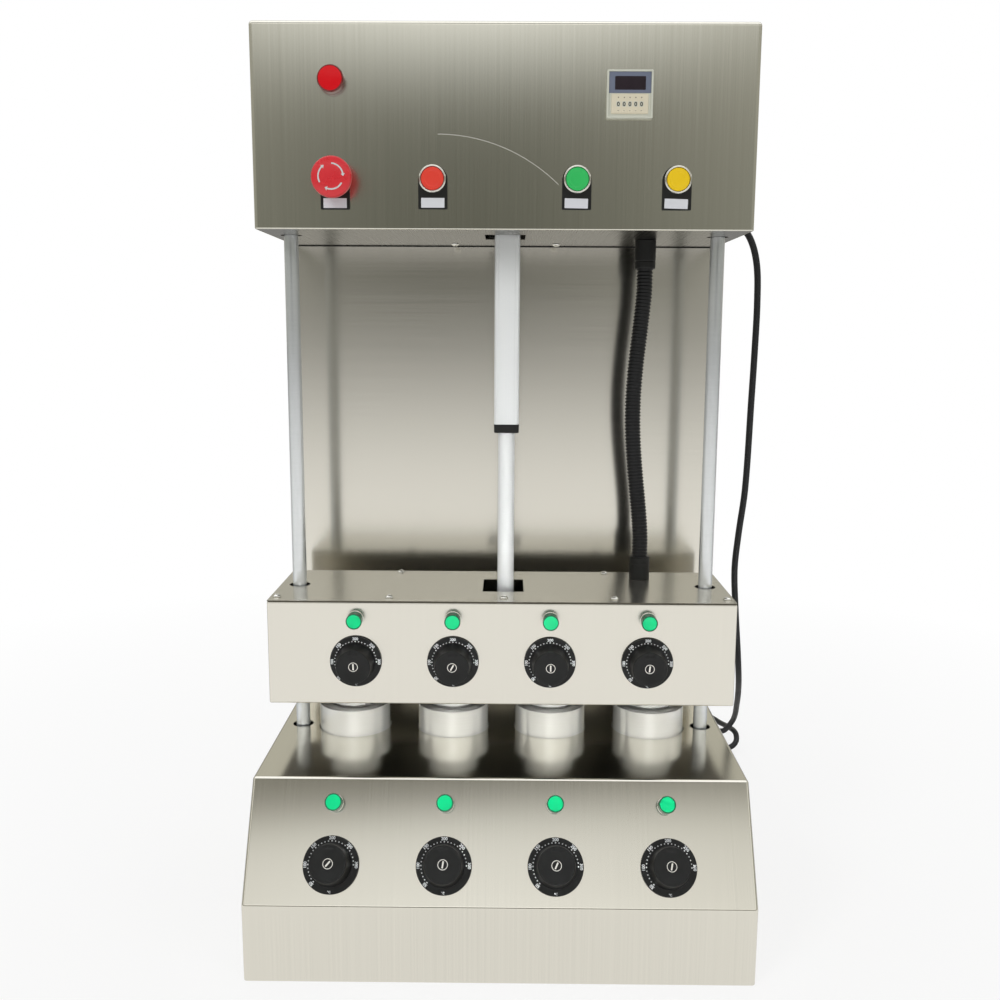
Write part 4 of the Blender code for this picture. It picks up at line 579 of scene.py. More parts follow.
# Cold-formed and polished screw heads: bright domes with a dark rim
screw_steel = turned_metal("steel_screw_polished", ("#e6e5df", "#f2f1ec"), (0.10, 0.16), (2, 2, 2))
dial_black = moulded("phenolic_moulded_black", "#101111", (0.40, 0.50), 0.5, 0.8, Specular_IOR_Level=0.35)
matt_black = moulded("nylon_moulded_black", "#101110", (0.42, 0.55), 0.5, 0.8, Specular_IOR_Level=0.4)
hose_black = moulded("nylon_blown_black", "#101113", (0.34, 0.46), 0.8, 0.8, Specular_IOR_Level=0.4)
cord_black = moulded("pvc_extruded_black", "#1b1c1f", (0.38, 0.50), 0.9, 0.82, Specular_IOR_Level=0.4)
scale_white = moulded("paint_printed_white", "#cfd2d2", (0.45, 0.6), 0.4, 0.93)
green_lens = moulded("polycarbonate_green", "#00c87f", (0.3, 0.36), 0.9, 0.93, Specular_IOR_Level=0.2)
# Darker copy of the green lens plastic for the lamps' sides: painted shade
green_lens_shaded = moulded("polycarbonate_green_painted_shade", "#0a5f40", (0.16, 0.24), 0.9, 0.85, IOR=1.58)
red_lens = moulded("polycarbonate_red", "#dc0a18", (0.2, 0.28), 0.9, 0.9, Specular_IOR_Level=0.3)
# Darker copy of the red lens plastic for the pilot lamp's ring: painted shade
red_lens_shaded = moulded("polycarbonate_red_painted_shade", "#6f0b10", (0.14, 0.22), 0.9, 0.85, IOR=1.58)
stop_red = moulded("abs_moulded_red", "#d92a33", (0.24, 0.34), 0.6, 0.92, IOR=1.54)
cap_red = moulded("abs_cap_red", "#e8402f", (0.30, 0.40), 0.6, 0.93, IOR=1.54)
cap_green = moulded("abs_cap_green", "#2cc05f", (0.30, 0.40), 0.6, 0.93, IOR=1.54)
cap_yellow = moulded("abs_cap_yellow", "#f3cb00", (0.30, 0.40), 0.6, 0.95, IOR=1.54)
cream_plastic = moulded("abs_moulded_cream", "#d0d1c3", (0.40, 0.52), 0.5, 0.95, IOR=1.54)
key_cream = moulded("abs_keys_cream", "#ded5bd", (0.40, 0.52), 0.5, 0.95, IOR=1.54)
face_blue = moulded("acrylic_smoked_blue", "#6e7588", (0.18, 0.26), 1.2, 0.94, IOR=1.49)
display_dark = moulded("acrylic_display_dark", "#21141f", (0.10, 0.16), 1.5, 0.85, IOR=1.49)
label_white = moulded("paper_label_white", "#dadbe0", (0.5, 0.65), 0.5, 0.95)
ink_dark = moulded("ink_printed_dark", "#38342c", (0.5, 0.6), 0.5, 0.9)
brass = turned_metal("brass_rolled", ("#b99a55", "#d8bd7c"), (0.22, 0.34), (0.8, 0.8, 40))


# ---- cord, with its gland, sleeve and plug


def smooth_route(points, step):
    """Even samples of a smooth curve through points: cubic pieces whose slope at a point is the chord between its
    neighbours, divided by the length of the two spans beside it."""
    points = np.asarray(points, float)
    padded = np.concatenate([[points[0] * 2 - points[1]], points, [points[-1] * 2 - points[-2]]])
    before, start, end, after = padded[:-3], padded[1:-2], padded[2:-1], padded[3:]
    span = np.linalg.norm(end - start, axis=1)
    leave = (end - before) * (span / (span + np.linalg.norm(start - before, axis=1)))[:, None]
    arrive = (after - start) * (span / (span + np.linalg.norm(after - end, axis=1)))[:, None]
    t = (np.arange(20) / 20)[None, :, None]
    fine = (
        start[:, None] * (2 * t**3 - 3 * t**2 + 1)
        + leave[:, None] * (t**3 - 2 * t**2 + t)
        + end[:, None] * (3 * t**2 - 2 * t**3)
        + arrive[:, None] * (t**3 - t**2)
    ).reshape(-1, 3)
    fine = np.concatenate([fine, points[-1:]])
    length = np.concatenate([[0], np.cumsum(np.linalg.norm(np.diff(fine, axis=0), axis=1))])
    wanted = np.linspace(0, length[-1], round(length[-1] / step) + 1)
    return np.stack([np.interp(wanted, length, fine[:, axis]) for axis in range(3)], axis=1)


def make_cord():
    """Supply cord with its gland in the rear panel, its tapered sleeve and its plug. The sleeve's radius is
    7.2 - 0.09 s + 0.35 cos(2 pi s / 5) at s millimetres along it."""
    exit_x, _, exit_z = CORD_ROUTE[0]
    line = smooth_route(np.array(CORD_ROUTE) + (0, FRONT_Y, 0), 5.0)
    profile = [
        (0, -6.8), (11, -6.8), (11, -1.8), (8, -1.8), (8, 0.3), (12, 0.3), (12, 7), (10.6, 9), (8.7, 16), (8.0, 19.5),
        (0, 19.5),
    ]
    hexagon = lambda angle, height: np.where((height > 0.5) & (height < 8), 0.55 * (np.cos(6 * angle) - 1), 0)
    gland = put(turned(profile, 72, 0.8, hexagon), (exit_x, PANEL_Y + SHEET, exit_z), REARWARD)
    gland = piece("cord_gland_nut", gland, matt_black, "frame", "black_plastic", "cord_gland")
    along = np.linspace(0, 25, 26)
    radii = 7.2 - along * 0.09 + 0.35 * np.cos(along * 2 * math.pi / 5)
    path = np.stack([np.full(26, exit_x), FRONT_Y + 371.2 + along, np.full(26, exit_z)], axis=1)
    sleeve = piece("cord_sleeve", tube(path, radii, 40), matt_black, "frame", "black_plastic")
    plug = make_plug(line[-1])
    cord = piece("supply_cord", tube(line, CORD_RADIUS, 20), cord_black, "frame", "cord_black", "power_cord")


def make_plug(end):
    """Moulded plug that points to -X: ribbed tail, three flat blades, and a body whose waist is set in by 5.2 (1 - s)^3
    + 1.3 sin(pi s) at a share s of its length."""
    facing = np.array([[0, 0, -1], [1, 0, 0], [0, -1, 0]], float)
    start = 18.3
    body = lambda inset: rectangle(18, 11.5, 6.5, inset)
    rise = np.linspace(0, 1, 12)[:-1]
    waist = [(5.2 * (1 - r) ** 2 * (1 - r) + 1.3 * math.sin(math.pi * r), start + 45 * r) for r in rise]
    shell = stacked(body, [*waist, (0.4, start + 43.6), (1.2, start + 44.6), (2.4, start + 45)])
    height = np.linspace(0.3, start + 3, 40)
    radii = 6.2 + 1.6 * (height / start) + 0.4 * np.cos(height * 2 * math.pi / 3.6)
    tail = turned([(0, 0.3), *zip(radii, height), (0, start + 3)], 40)
    blades = [put(plate(1.6, 6.2, start + 44, start + 62.8, 0.7, 0.5), (x, 0, 0)) for x in (-10.5, 0, 10.5)]
    return [
        piece("plug_body", put(joined(shell, tail), end, facing), matt_black, "frame", "black_plastic", "power_plug"),
        piece("plug_blades", put(joined(*blades), end, facing), brass, "frame"),
    ]


make_cord()


# ---- sheet metal


def sheet(name, shape, finish, body, node, **settings):
    """Piece of stainless sheet."""
    return piece(name, shape, finish, body, "brushed_steel", node, **settings)


def make_base():
    """Base: one sheet folded over the slope with welded sides, holes for moulds and columns, floor plate kept."""
    path = [(PANEL_Y - 0.3, DECK_Z), (DECK_Y, DECK_Z), (FRONT_Y, CREASE_Z), (FRONT_Y, 0)]
    corner = [[PANEL_Y - 0.3, 0.0]]
    bend = 4.0
    rings = []
    for side in (-1, 1):
        for inset, drop in quarter(bend)[::side]:
            outline = np.concatenate([bent(path, [0, bend, 5.5, 0], inset, closed=False), corner])
            rings.append(np.insert(outline, 0, side * (BASE_HALF - drop), axis=1))
    shell = lofted(np.stack(rings), closed=False, skip=1)
    holes = joined(*rods(42.5, [(x, AXIS_Y) for x in MOULD_X], 150, 200, 96), *column_rods(150, 200))
    sheet("base_casing", shell, base_brushed, "frame", "base_shell", wall=SHEET, cuts=holes, rim=0.35)


def make_control_box():
    """Control box: one sheet bent round the front corners and over the top, open below and behind, with its floor."""
    ends = PANEL_Y - 0.3
    path = [(-BOX_HALF, ends), (-BOX_HALF, HEAD_Y), (BOX_HALF, HEAD_Y), (BOX_HALF, ends)]
    outline = lambda inset: bent(path, 4.0, inset, closed=False)
    lip = [(inset, BOX_Z + drop) for inset, drop in quarter(1.4, 4)][::-1]
    shell = stacked(outline, [*lip, *rounded_rim(TOP_Z, 4.0)], closed=False, caps=(False, True))
    sheet("control_box_casing", shell, box_brushed, "frame", "top_box_shell", wall=SHEET, rim=0.35)
    front, rear = HEAD_Y + 1.8, PANEL_Y - 2.6
    plan = plate(514.4, rear - front, BOX_Z + 0.3, BOX_Z + 0.3 + SHEET, 0.5, 0.25, (0, (front + rear) / 2))
    hose_hole = rods(HOSE_HOLE, [(HOSE_TOP_X, HOSE_Y)], 740, 780)
    holes = joined(*column_rods(740, 780), passage(FLOOR_OPENING, BOX_Z), *hose_hole)
    # The floor's underside gets the steel painted darker: painted shade
    sheet("control_box_floor", plan, underside_shade_steel, "frame", "top_box_floor", cuts=holes, rim=0.2)


def make_floor_shade_strip():
    """Dark strip along the joint between the control box's floor and the rear panel: a dark piece that paints the shade
    of that joint.
    """
    strip = plate(512, 1.3, BOX_Z - 1.0, BOX_Z + 0.2, 0.3, 0.1, (0, PANEL_Y - 1.2))
    piece("box_floor_shade_strip", strip, matt_black, "frame", "black_plastic")


def make_carriage():
    """Carriage: folded box open above, and its screwed lid with holes for the columns, the rod and the hose."""
    x, rear = CARRIAGE_HALF, HEAD_Y + CARRIAGE_DEPTH
    corners = [(-x, HEAD_Y), (x, HEAD_Y), (x, rear), (-x, rear)]
    bottom = [(inset, CARRIAGE_Z + drop) for inset, drop in quarter(1.8)][::-1]
    rim = rounded_rim(LID_Z - SHEET - 0.5, 1.2, 4)
    shell = stacked(lambda inset: bent(corners, 2.0, inset), [*bottom, *rim], caps=(True, False))
    holes = joined(*rods(27.7, [(x, AXIS_Y) for x in MOULD_X], 230, 250, 96), *column_rods(230, 250))
    casing = sheet(
        "carriage_casing", shell, carriage_brushed, "carriage", "carriage_shell", wall=SHEET, cuts=holes, rim=0.35
    )
    # Painted shade: the carriage's downward-facing underside over the moulds gets the darker steel
    paint_shade_on(casing, lambda face: face.normal.z < -0.9 and face.center.z < 0.245)
    lid = plate(516, CARRIAGE_DEPTH, LID_Z - SHEET, LID_Z, 2.0, 0.6, (0, (HEAD_Y * 2 + CARRIAGE_DEPTH) / 2))
    hose_hole = rods(HOSE_HOLE, [(HOSE_LOW_X, HOSE_Y)], 340, 380)
    holes = joined(*column_rods(340, 380), passage(LID_OPENING, LID_Z), *hose_hole)
    cover = sheet("carriage_cover", lid, lid_brushed, "carriage", "carriage_lid", cuts=holes, rim=0.25)
    # Painted shade line along the lid's edges
    paint_shade_on(cover, lambda face: abs(face.normal.z) < 0.8)


def make_back_panel():
    """Rear panel: sheet with both sides bent forward, and its two service openings."""
    x, flange, behind = PANEL_HALF, PANEL_Y - 12, PANEL_Y + SHEET
    outline = lambda inset: bent([(x, flange), (x, behind), (-x, behind), (-x, flange)], 2.6, inset, closed=False)
    shell = stacked(outline, [(0, 3), (0, TOP_Z)], closed=False, caps=(False, False))
    holes = [put(plate(w, 90, -10, 10, 3, 0.1), (0, PANEL_Y, z), REARWARD) for w, z in zip((300, 340), COVER_Z)]
    sheet("rear_panel_sheet", shell, level_brushed, "frame", "back_panel", wall=SHEET, cuts=joined(*holes), rim=0.3)


def make_rear_covers():
    """Pressed covers behind: shallow trays with rounded rims, the lower with seven hooded louvres. A hood's section is
    an arc of 95 degrees, and it shrinks to nothing at both ends as (1 - s^14)^0.5."""
    for name, node, width, z, louvres in (
        ("base_service_cover", "base_rear_cover", 340, COVER_Z[0], 7),
        ("box_service_cover", "top_rear_cover", 380, COVER_Z[1], 0),
    ):
        place = lambda shape: put(shape, (0, PANEL_Y + 1.8, z), REARWARD)
        outline = lambda inset: rectangle(width / 2, 65, 3.5, inset)
        tray = stacked(outline, [(0, 0), *rounded_rim(4.2, 2.2)], caps=(False, True))
        slots = [plate(240, 4.0, -5, 10, 1.5, 0.1, (0, (i - 3) * 12)) for i in range(louvres)]
        cuts = place(joined(*slots)) if slots else None
        sheet(name, place(tray), level_brushed, "frame", node, wall=1.2, cuts=cuts, rim=0.2)
    along = np.linspace(-1, 1, 49)[:, None]
    round_end = np.sqrt(np.clip(1 - np.abs(along) ** 14, 0, 1))
    angle = np.linspace(0, math.radians(95), 9)[None]
    hoods = []
    for i in range(7):
        out = np.sin(angle) * round_end * 3.0
        up = (2.6 - 4.6 * (1 - np.cos(angle))) * np.ones((49, 1))
        rings = np.stack([along * (121.5 + 0 * angle), up + (i - 3) * 12, out + 4.1], axis=-1)
        hoods.append(lofted(rings, closed=False, caps=(False, False)))
    shape = flipped(put(joined(*hoods), (0, PANEL_Y + 1.8, COVER_Z[0]), REARWARD))
    piece("louvre_hoods", shape, level_brushed, "frame", "brushed_steel", wall=0.8)


def screw(radius=4.7, height=3.4, spin=0.0):
    """Pan-head screw: height 0.5 + (h - 0.5)(1 - (r / R)^2)^0.6 over a disc, undercut below, less a cross recess 1.1 mm
    wide and 4.4 mm long."""
    rows, sides = 13, 48
    share = np.linspace(1, 0, rows + 1)[:-1, None]
    angle = np.arange(sides)[None] * (2 * math.pi / sides)
    x, y = radius * share * np.cos(angle), radius * share * np.sin(angle)
    within = lambda value, limit: 1 / (1 + (value / limit) ** 8)
    cross = np.maximum(within(x, 0.55) * within(y, 2.2), within(y, 0.55) * within(x, 2.2))
    z = 0.5 + (height - 0.5) * (1 - share**2.0) ** 0.6 - 0.9 * cross
    skirt = np.stack([x[:1] * 0.8, y[:1] * 0.8, np.full((1, sides), -0.2)], axis=-1)
    return put(lofted(np.concatenate([skirt, np.stack([x, y, z], axis=-1)]), caps=(False, True)), spin=spin)


def make_screws():
    """Screws of the carriage's lid, the control box's floor, the rear panel and its covers."""
    lid = [(x, -19.4) for x in (-250, -125, 2, 125, 250)] + [(x, 105) for x in (-124.4, 124.4)]
    top = [put(screw(spin=0.5 * i), (x, y, LID_Z)) for i, (x, y) in enumerate(lid)]
    piece("lid_screws", joined(*top), screw_steel, "carriage", "chromed_steel")
    floor = [put(screw(spin=0.7 * i), (x, 137, BOX_Z + 0.3), DOWNWARD) for i, x in enumerate((-59, 62))]
    rear = []
    for i, (x, z) in enumerate([(s * 254, z) for s in (-1, 1) for z in (20, 180, 380, 570, 772, 945)]):
        rear.append(put(screw(spin=0.9 * i), (x, PANEL_Y + SHEET, z), REARWARD))
    for width, middle in zip((340, 380), COVER_Z):
        for i, (sx, sz) in enumerate([(a, b) for a in (-1, 1) for b in (-1, 1)]):
            spot = (sx * (width / 2 - 8), PANEL_Y + 6.0, middle + sz * 57)
            rear.append(put(screw(2.8, 1.6, 0.6 * i), spot, REARWARD))
    piece("casing_screws", joined(*floor, *rear), screw_steel, "frame", "chromed_steel")


make_base()
make_control_box()
make_floor_shade_strip()
make_carriage()
make_back_panel()
make_rear_covers()
make_screws()


# ---- moulds, columns and actuator


def make_moulds():
    """Lower mould blocks with their conical cavities, and the punches that go into them, with painted shade on the
    lower edges of their collars, where the gap into the cavity falls dark."""
    block = [
        (0, 2.3), (30, 2.3), (30, 8.3), (16, 8.3), (16, 92), (41.5, 92), (41.5, 221.4), (27.5, 221.4), (27.5, 207.4),
        (8, 101), (0, 101),
    ]
    punch = [
        (0, 107), (4, 107), (22.5, 213.4), (26, 213.4), (26, 222.4), (28.6, 222.4), (29.2, 223.4), (29.2, 243.2),
        (26, 243.2), (26, 244.7), (10, 244.7), (10, 253.6), (15, 253.6), (15, 261.6), (0, 261.6),
    ]
    for number, x in enumerate(MOULD_X, start=1):
        place = lambda shape: put(shape, (x, AXIS_Y, 0))
        lower, upper = place(turned(block, 96, 0.9)), place(turned(punch, 96, 0.6))
        piece(f"mould_block_{number}", lower, machined_aluminium, "frame", "aluminium", f"lower_mould_{number}")
        made = piece(f"punch_{number}", upper, machined_aluminium, "carriage", "aluminium", f"upper_mould_{number}")
        # Painted shade on each collar's lower edge, for the dark gap into the cavity
        paint_shade_on(made, lambda face: 0.2225 < face.center.z < 0.22345 and face.normal.z < -0.05)


def make_columns():
    """Ground guide columns with their hexagonal top nuts: radius 13 less 0.8 (1 - cos 6a)."""
    profile = [(0, 2.3), (8, 2.3), (8, 854.3), (13, 854.3), (13, 864.3), (8, 864.3), (8, 868.3), (0, 868.3)]
    hexagon = lambda angle, height: np.where((height > 855) & (height < 864), -0.8 * (1 - np.cos(6 * angle)), 0)
    for side, x in (("left", -COLUMN_X), ("right", COLUMN_X)):
        shape = put(turned(profile, 72, 0.5, hexagon), (x, AXIS_Y, 0))
        piece(f"guide_{side}", shape, chromed_steel, "frame", "chromed_steel", f"column_{side}")


def make_actuator():
    """Actuator: extruded tube with two grooves in its front face, black end collar, and the rod with its eye."""
    place = lambda shape: put(shape, (ACTUATOR_X, AXIS_Y, 0))
    grooves = [(x + dx, y) for x in (-9.3, 9.3) for dx, y in ((-0.45, -13), (-0.45, -12.4), (0.45, -12.4), (0.45, -13))]
    corners = [(-14, -13), *grooves, (14, -13), (14, 13), (-14, 13)]
    bends = [3.4, *[0.1] * 8, 3.4, 3.4, 3.4]
    body = lofted(np.stack([np.insert(bent(corners, bends), 2, z, axis=1) for z in (550, 700, 854)]))
    bore = turned([(10.4, 540), (10.4, 832)], 48)
    piece(
        "actuator_profile", place(body), anodised_aluminium, "frame", "aluminium", "actuator_tube", cuts=place(bore),
        rim=0.1,
    )
    lip = [(1.2, 540.2), (0.4, 540.8), (0.2, 541.6), (0.2, 547.4), (0, 547.9), (0, 549.4), (0.3, 549.7)]
    seal = stacked(lambda inset: rectangle(14.25, 13, 3.6, inset), lip)
    bore = turned([(9.8, 530), (9.8, 560)], 64)
    piece(
        "actuator_seal", place(seal), matt_black, "frame", "black_plastic", "actuator_collar", cuts=place(bore)
    )
    rod = turned([(0, 287.4), (9.5, 287.4), (9.5, 570.2), (0, 570.2)], 72, 0.8)
    eye = put(plate(16, 18, 257.6, 288, 2.5, 1.5))
    pin = put(turned([(0, -15.6), (4, -15.6), (4, 15.6), (0, 15.6)], 32, 0.6), (0, 0, 269.6), np.eye(3)[:, [1, 2, 0]])
    shaft = place(joined(rod, eye, pin))
    piece("actuator_shaft", shaft, anodised_aluminium, "carriage", "aluminium", "actuator_rod")


make_moulds()
make_columns()
make_actuator()


# ---- controls


def maker(spot, facing=FORWARD):
    """Function that makes pieces at one spot, facing one way."""
    def make(name, shape, finish, body="frame", *slot_and_node, spin=0.0, **settings):
        return piece(name, put(shape, spot, facing, spin), finish, body, *slot_and_node, **settings)

    return make


def control_rows(rise, height):
    """Each row's name, body, facing and four places: on the base's slope, then on the carriage's front."""
    return (
        ("lower", "frame", SLOPE, [on_slope(x, rise) for x in BASE_CONTROL_X]),
        ("upper", "carriage", FORWARD, [(x, HEAD_Y, height) for x in CARRIAGE_CONTROL_X]),
    )


def around(radius, angle, height):
    """Point at a radius and an angle about the axis."""
    return radius * math.cos(angle), radius * math.sin(angle), height


def dial_cup():
    """Dial: marked skirt and a finger cup. Its dished top is 24.5 - 2.1 (1 - (r / 16.2)^2)^1.3 high, less a pointer
    scoop at twelve o'clock of 2 exp(-(x / 5.2)^4 - ((y - 16.6) / 2.5)^4)."""
    profile = softened(
        [(0, -16), (3, -16), (3, 0.8), (28.5, 0.8), (28.5, 3.4), (21.2, 3.4), (18.7, 24.5), (16.2, 24.5)], 0.9, 5
    )
    share = np.linspace(1, 0, 25)[1:-1]
    dish = np.stack([16.2 * share, 24.5 - 2.1 * (1 - share**2) ** 1.3], axis=1)
    shape, faces = turned(np.concatenate([profile, dish, [[0, 22.4]]]), 120, ends=False)
    x, y, z = shape.T
    shape[:, 2] -= 2.0 * (np.exp(-((x / 5.2) ** 4) - ((y - 16.6) / 2.5) ** 4) * (z > 18))
    return shape, faces


def dial_scale():
    """White print of the skirt: six figures, four dots between them and a larger one at each, and the unit below."""
    parts = []
    for text, angle in (("50", 225), ("100", 180), ("150", 135), ("200", 90), ("250", 45), ("300", 0)):
        turn = math.radians(angle)
        parts.append(put(glyphs(text, 3.3), around(26.1, turn, 3.44), spin=turn - math.pi / 2))
    points, faces = turned([(0, 3.36), (0.62, 3.36), (0.62, 3.5), (0, 3.5)], 14)
    for angle in np.arange(0, 226, 9):
        size = 1.2 if angle % 45 == 0 else 1.0
        parts.append(put((points * (size, size, 1), faces), around(23.1, math.radians(angle), 0)))
    parts.append(put(glyphs("°C", 2.4), around(26.0, math.radians(270), 3.44)))
    return joined(*parts)


def dial_badge(spin):
    """Plain foil mark on the dial's centre: a ring with a bar across it."""
    ring = turned([(4.5, 22.2), (5.15, 22.2), (5.15, 22.72), (4.5, 22.72), (4.5, 22.2)], 48, ends=False)
    return put(joined(ring, plate(1.7, 7.0, 22.2, 22.72, 0.5, 0.15)), spin=spin)


def make_dials():
    """Eight thermostat dials, each on its own body; the badge stands at a different turn on each."""
    cup, scale = dial_cup(), dial_scale()
    badge_turns = {"lower": (-40, -8, -25, -12), "upper": (2, -28, 0, -6)}
    for row, _, facing, places in control_rows(39.9, 293.0):
        for number, (spot, turn) in enumerate(zip(places, badge_turns[row]), start=1):
            name = f"{row}_dial_{number}"
            make = maker(spot, facing)
            make(f"{name}_knob", cup, dial_black, name, "black_plastic", name)
            make(f"{name}_scale", scale, scale_white, name)
            make(f"{name}_badge", dial_badge(math.radians(turn)), plated_steel, name, "chromed_steel")


def make_signal_lamps():
    """Green signal lamps: plated flange at the sheet, deep green lens side with a groove in a darker copy of the lens
    plastic that paints its shade, and a bright front whose fine rings are 0.05 cos(2 pi r / 0.95) high."""
    collar = turned([
        (0, -24), (6, -24), (6, -5.8), (9, -5.8), (9, -1.8), (6, -1.8), (6, 0.3), (9, 0.3), (9, 1.1), (7.9, 1.3),
        (7.9, 2.4),
    ], 64, 0.3)
    side = turned([
        (7.8, 1.2), (8.6, 1.2), (8.7, 5.2), (8.2, 5.6), (8.2, 6.4), (8.7, 6.8), (8.8, 12.8), (8.4, 13.4), (7.6, 13.4),
        (7.4, 12.6),
    ], 64, 0.2, ends=False)
    radius = np.linspace(7.5, 0, 31)
    face = turned([(7.5, 12.2), *zip(radius, 12.9 + 0.05 * np.cos(radius * 2 * math.pi / 0.95))], 64)
    for row, body, facing, places in control_rows(100.4, 341.0):
        for number, spot in enumerate(places, start=1):
            name = f"{row}_lamp_{number}"
            make = maker(spot, facing)
            make(f"{name}_collar", collar, plated_steel, body, "chromed_steel")
            make(f"{name}_side", side, green_lens_shaded, body, "green_lens")
            make(f"{name}_lens", face, green_lens, body, "green_lens", name)


def make_pilot_lamp():
    """Large red pilot lamp: dark ring with a deep side, in a darker copy of the lens plastic that paints its shade,
    and a bright domed front, 11.2 + 0.75 (1 - (r / 11.9)^2) high with rings of 0.03 cos(2 pi r / 1.2)."""
    back = turned([
        (0, -42), (10.8, -42), (10.8, -6.8), (14.5, -6.8), (14.5, -1.8), (10.8, -1.8), (10.8, 0.3), (13.5, 0.3),
        (13.5, 9.6), (12.6, 11.6), (12.0, 11.6), (11.8, 10.8),
    ], 80, 0.4, ends=False)
    radius = np.linspace(11.9, 0, 33)
    dome = 11.2 + 0.75 * (1 - (radius / 11.9) ** 2) + 0.03 * np.cos(radius * 2 * math.pi / 1.2)
    make = maker((-175.6, HEAD_Y, 903.8))
    make("pilot_lamp_ring", back, red_lens_shaded, "frame", "red_lens")
    make("pilot_lamp_lens", turned([(11.9, 10.2), *zip(radius, dome)], 80), red_lens, "frame", "red_lens", "power_lamp")


# Neck, nut and contact block behind a button's legend plate
BUTTON_BACK = [(0, -42), (14, -42), (14, -7.1), (14.5, -7.1), (14.5, -1.8), (10.8, -1.8)]


def legend_outline(inset):
    """Plate outline about the button's centre: half round above, straight below, with small lower corners."""
    arc = np.linspace(0, math.pi, 33)
    top = (15 - inset) * np.stack([np.cos(arc), np.sin(arc)], axis=1)
    low = bent([(-15, 0), (-15, -29.7), (15, -29.7), (15, 0)], [0, 1.2, 1.2, 0], inset, closed=False)
    return np.concatenate([top, low[1:-1]])


def legend_parts():
    """Legend plate, the raised rim about its label, and the bare label."""
    holder = stacked(legend_outline, [(0, 0.3), *rounded_rim(1.8, 0.5, 3)])
    rim = plate(25.6, 11.4, 1.4, 2.1, 1.0, 0.3, (0, -23.3))
    return holder, rim, plate(24.0, 9.8, 1.5, 2.25, 0.5, 0.1, (0, -23.3))


def make_push_buttons():
    """Push buttons: legend plate with a bare label, plated bezel, and a coloured cap. The cap's top is 9.3 high, with a
    ring of 0.12 exp(-((r - 8.2) / 0.6)^2) about a hollow of 0.12 (1 - (r / 8)^2)^0.5."""
    holder, rim, label = legend_parts()
    bezel = [(12.0, 1.5), (13.9, 1.5), (13.9, 8.9), (13.2, 9.8), (12.4, 9.8), (12.0, 9.2), (12.0, 1.5)]
    bezel = turned(bezel, 80, 0.35, ends=False)
    radius = np.linspace(11.1, 0, 30)
    hollow = np.sqrt(np.clip(1 - (radius / 8.0) ** 2, 0, 1))
    crown = 9.3 + 0.12 * np.exp(-(((radius - 8.2) / 0.6) ** 2)) - 0.12 * hollow
    cap = turned([(0, -7), (4, -7), (4, 5.9), (11.5, 5.9), (11.5, 9.0), (11.3, 9.25), *zip(radius, crown)], 80)
    back = turned([*BUTTON_BACK, (10.8, 1.0), (0, 1.0)], 56, 0.4)
    for name, x, tilt, finish, slot in (
        ("rise", -73.3, 0.0, cap_red, "red_plastic"),
        ("down", 74.8, -1.0, cap_green, "green_plastic"),
        ("yellow", 177.6, -1.5, cap_yellow, "yellow_plastic"),
    ):
        make = maker((x, HEAD_Y, 807.0))
        make(f"{name}_holder", joined(back, holder, rim), matt_black, "frame", "black_plastic", f"{name}_base")
        make(f"{name}_label", label, label_white, spin=math.radians(tilt))
        make(f"{name}_bezel", bezel, plated_steel, "frame", "chromed_steel")
        make(f"{name}_cap", cap, finish, f"{name}_button", slot, f"{name}_button")


def arrow_arc(radius, start, end, width, head, low, high):
    """Flat curved arrow: a band of a circle between two angles, then a triangular head that tapers to its tip."""
    angle = np.radians(np.linspace(start, end, 25))
    tip = np.radians(end + math.copysign(head / radius * 57.3, end - start))
    angle = np.concatenate([angle, [angle[-1]], [tip]])
    half = np.array([width / 2] * 25 + [width * 1.45, 0.02])
    inner, outer = (
        np.stack([(radius + side * half) * np.cos(angle), (radius + side * half) * np.sin(angle)], axis=1)
        for side in (-1, 1)
    )
    outline = np.concatenate([inner, outer[::-1]])
    return lofted(np.stack([np.insert(outline, 2, height, axis=1) for height in (low, high)]))


def make_stop_button():
    """Stop button: base with its bare label, the plunger, and the red mushroom head with three white arrows. The head's
    top is 27.9 - 2.3 (r / 19.2)^3.2 high."""
    make = maker((-174.0, HEAD_Y, 806.3))
    crown = lambda radius: 27.9 - 2.3 * (radius / 19.2) ** 3.2
    plate_shape, rim, label = legend_parts()
    ring = turned([(8.4, 1.5), (15, 1.5), (15, 8.5), (8.4, 8.5), (8.4, 1.5)], 72, 0.8, ends=False)
    back = turned([*BUTTON_BACK, (10.8, 1.0), (8.4, 1.0), (8.4, -8.3), (0, -8.3)], 56)
    bore = put(turned([(8.4, 0.0), (8.4, 5.0)], 48), (-174.0, HEAD_Y, 806.3), FORWARD)
    make("stop_holder", joined(back, plate_shape, rim), matt_black, "frame", "black_plastic", "stop_base", cuts=bore)
    make("stop_ring", ring, stop_red, "frame", "red_plastic")
    make("stop_label", label, label_white)
    stem = turned([(0, -8), (8, -8), (8, 13.7), (5, 13.7), (5, 19.7), (0, 19.7)], 56, 0.5)
    make("stop_stem", stem, matt_black, "stop_plunger", "black_plastic", "stop_plunger")
    head = [
        (0, 20), (5.3, 20), (5.3, 14.0), (14.2, 14.0), (18.6, 16.6), (20.5, 19.6), (20.75, 21.4), (20.6, 23.4),
        (20.1, 24.8), *((r, crown(r)) for r in np.linspace(19.2, 0, 26)),
    ]
    make("stop_mushroom", turned(softened(head, 0.5), 96), stop_red, "stop_head", "red_plastic", "stop_head")
    arrows = []
    for start, end in ((86, 12), (-30, -108), (-152, -226)):
        points, faces = arrow_arc(12.6, start, end, 1.5, 2.6, 0, 0.3)
        points[:, 2] += crown(np.hypot(points[:, 0], points[:, 1])) - 0.12
        arrows.append(flipped((points, faces)))
    make("stop_arrows", joined(*arrows), scale_white, "stop_head")


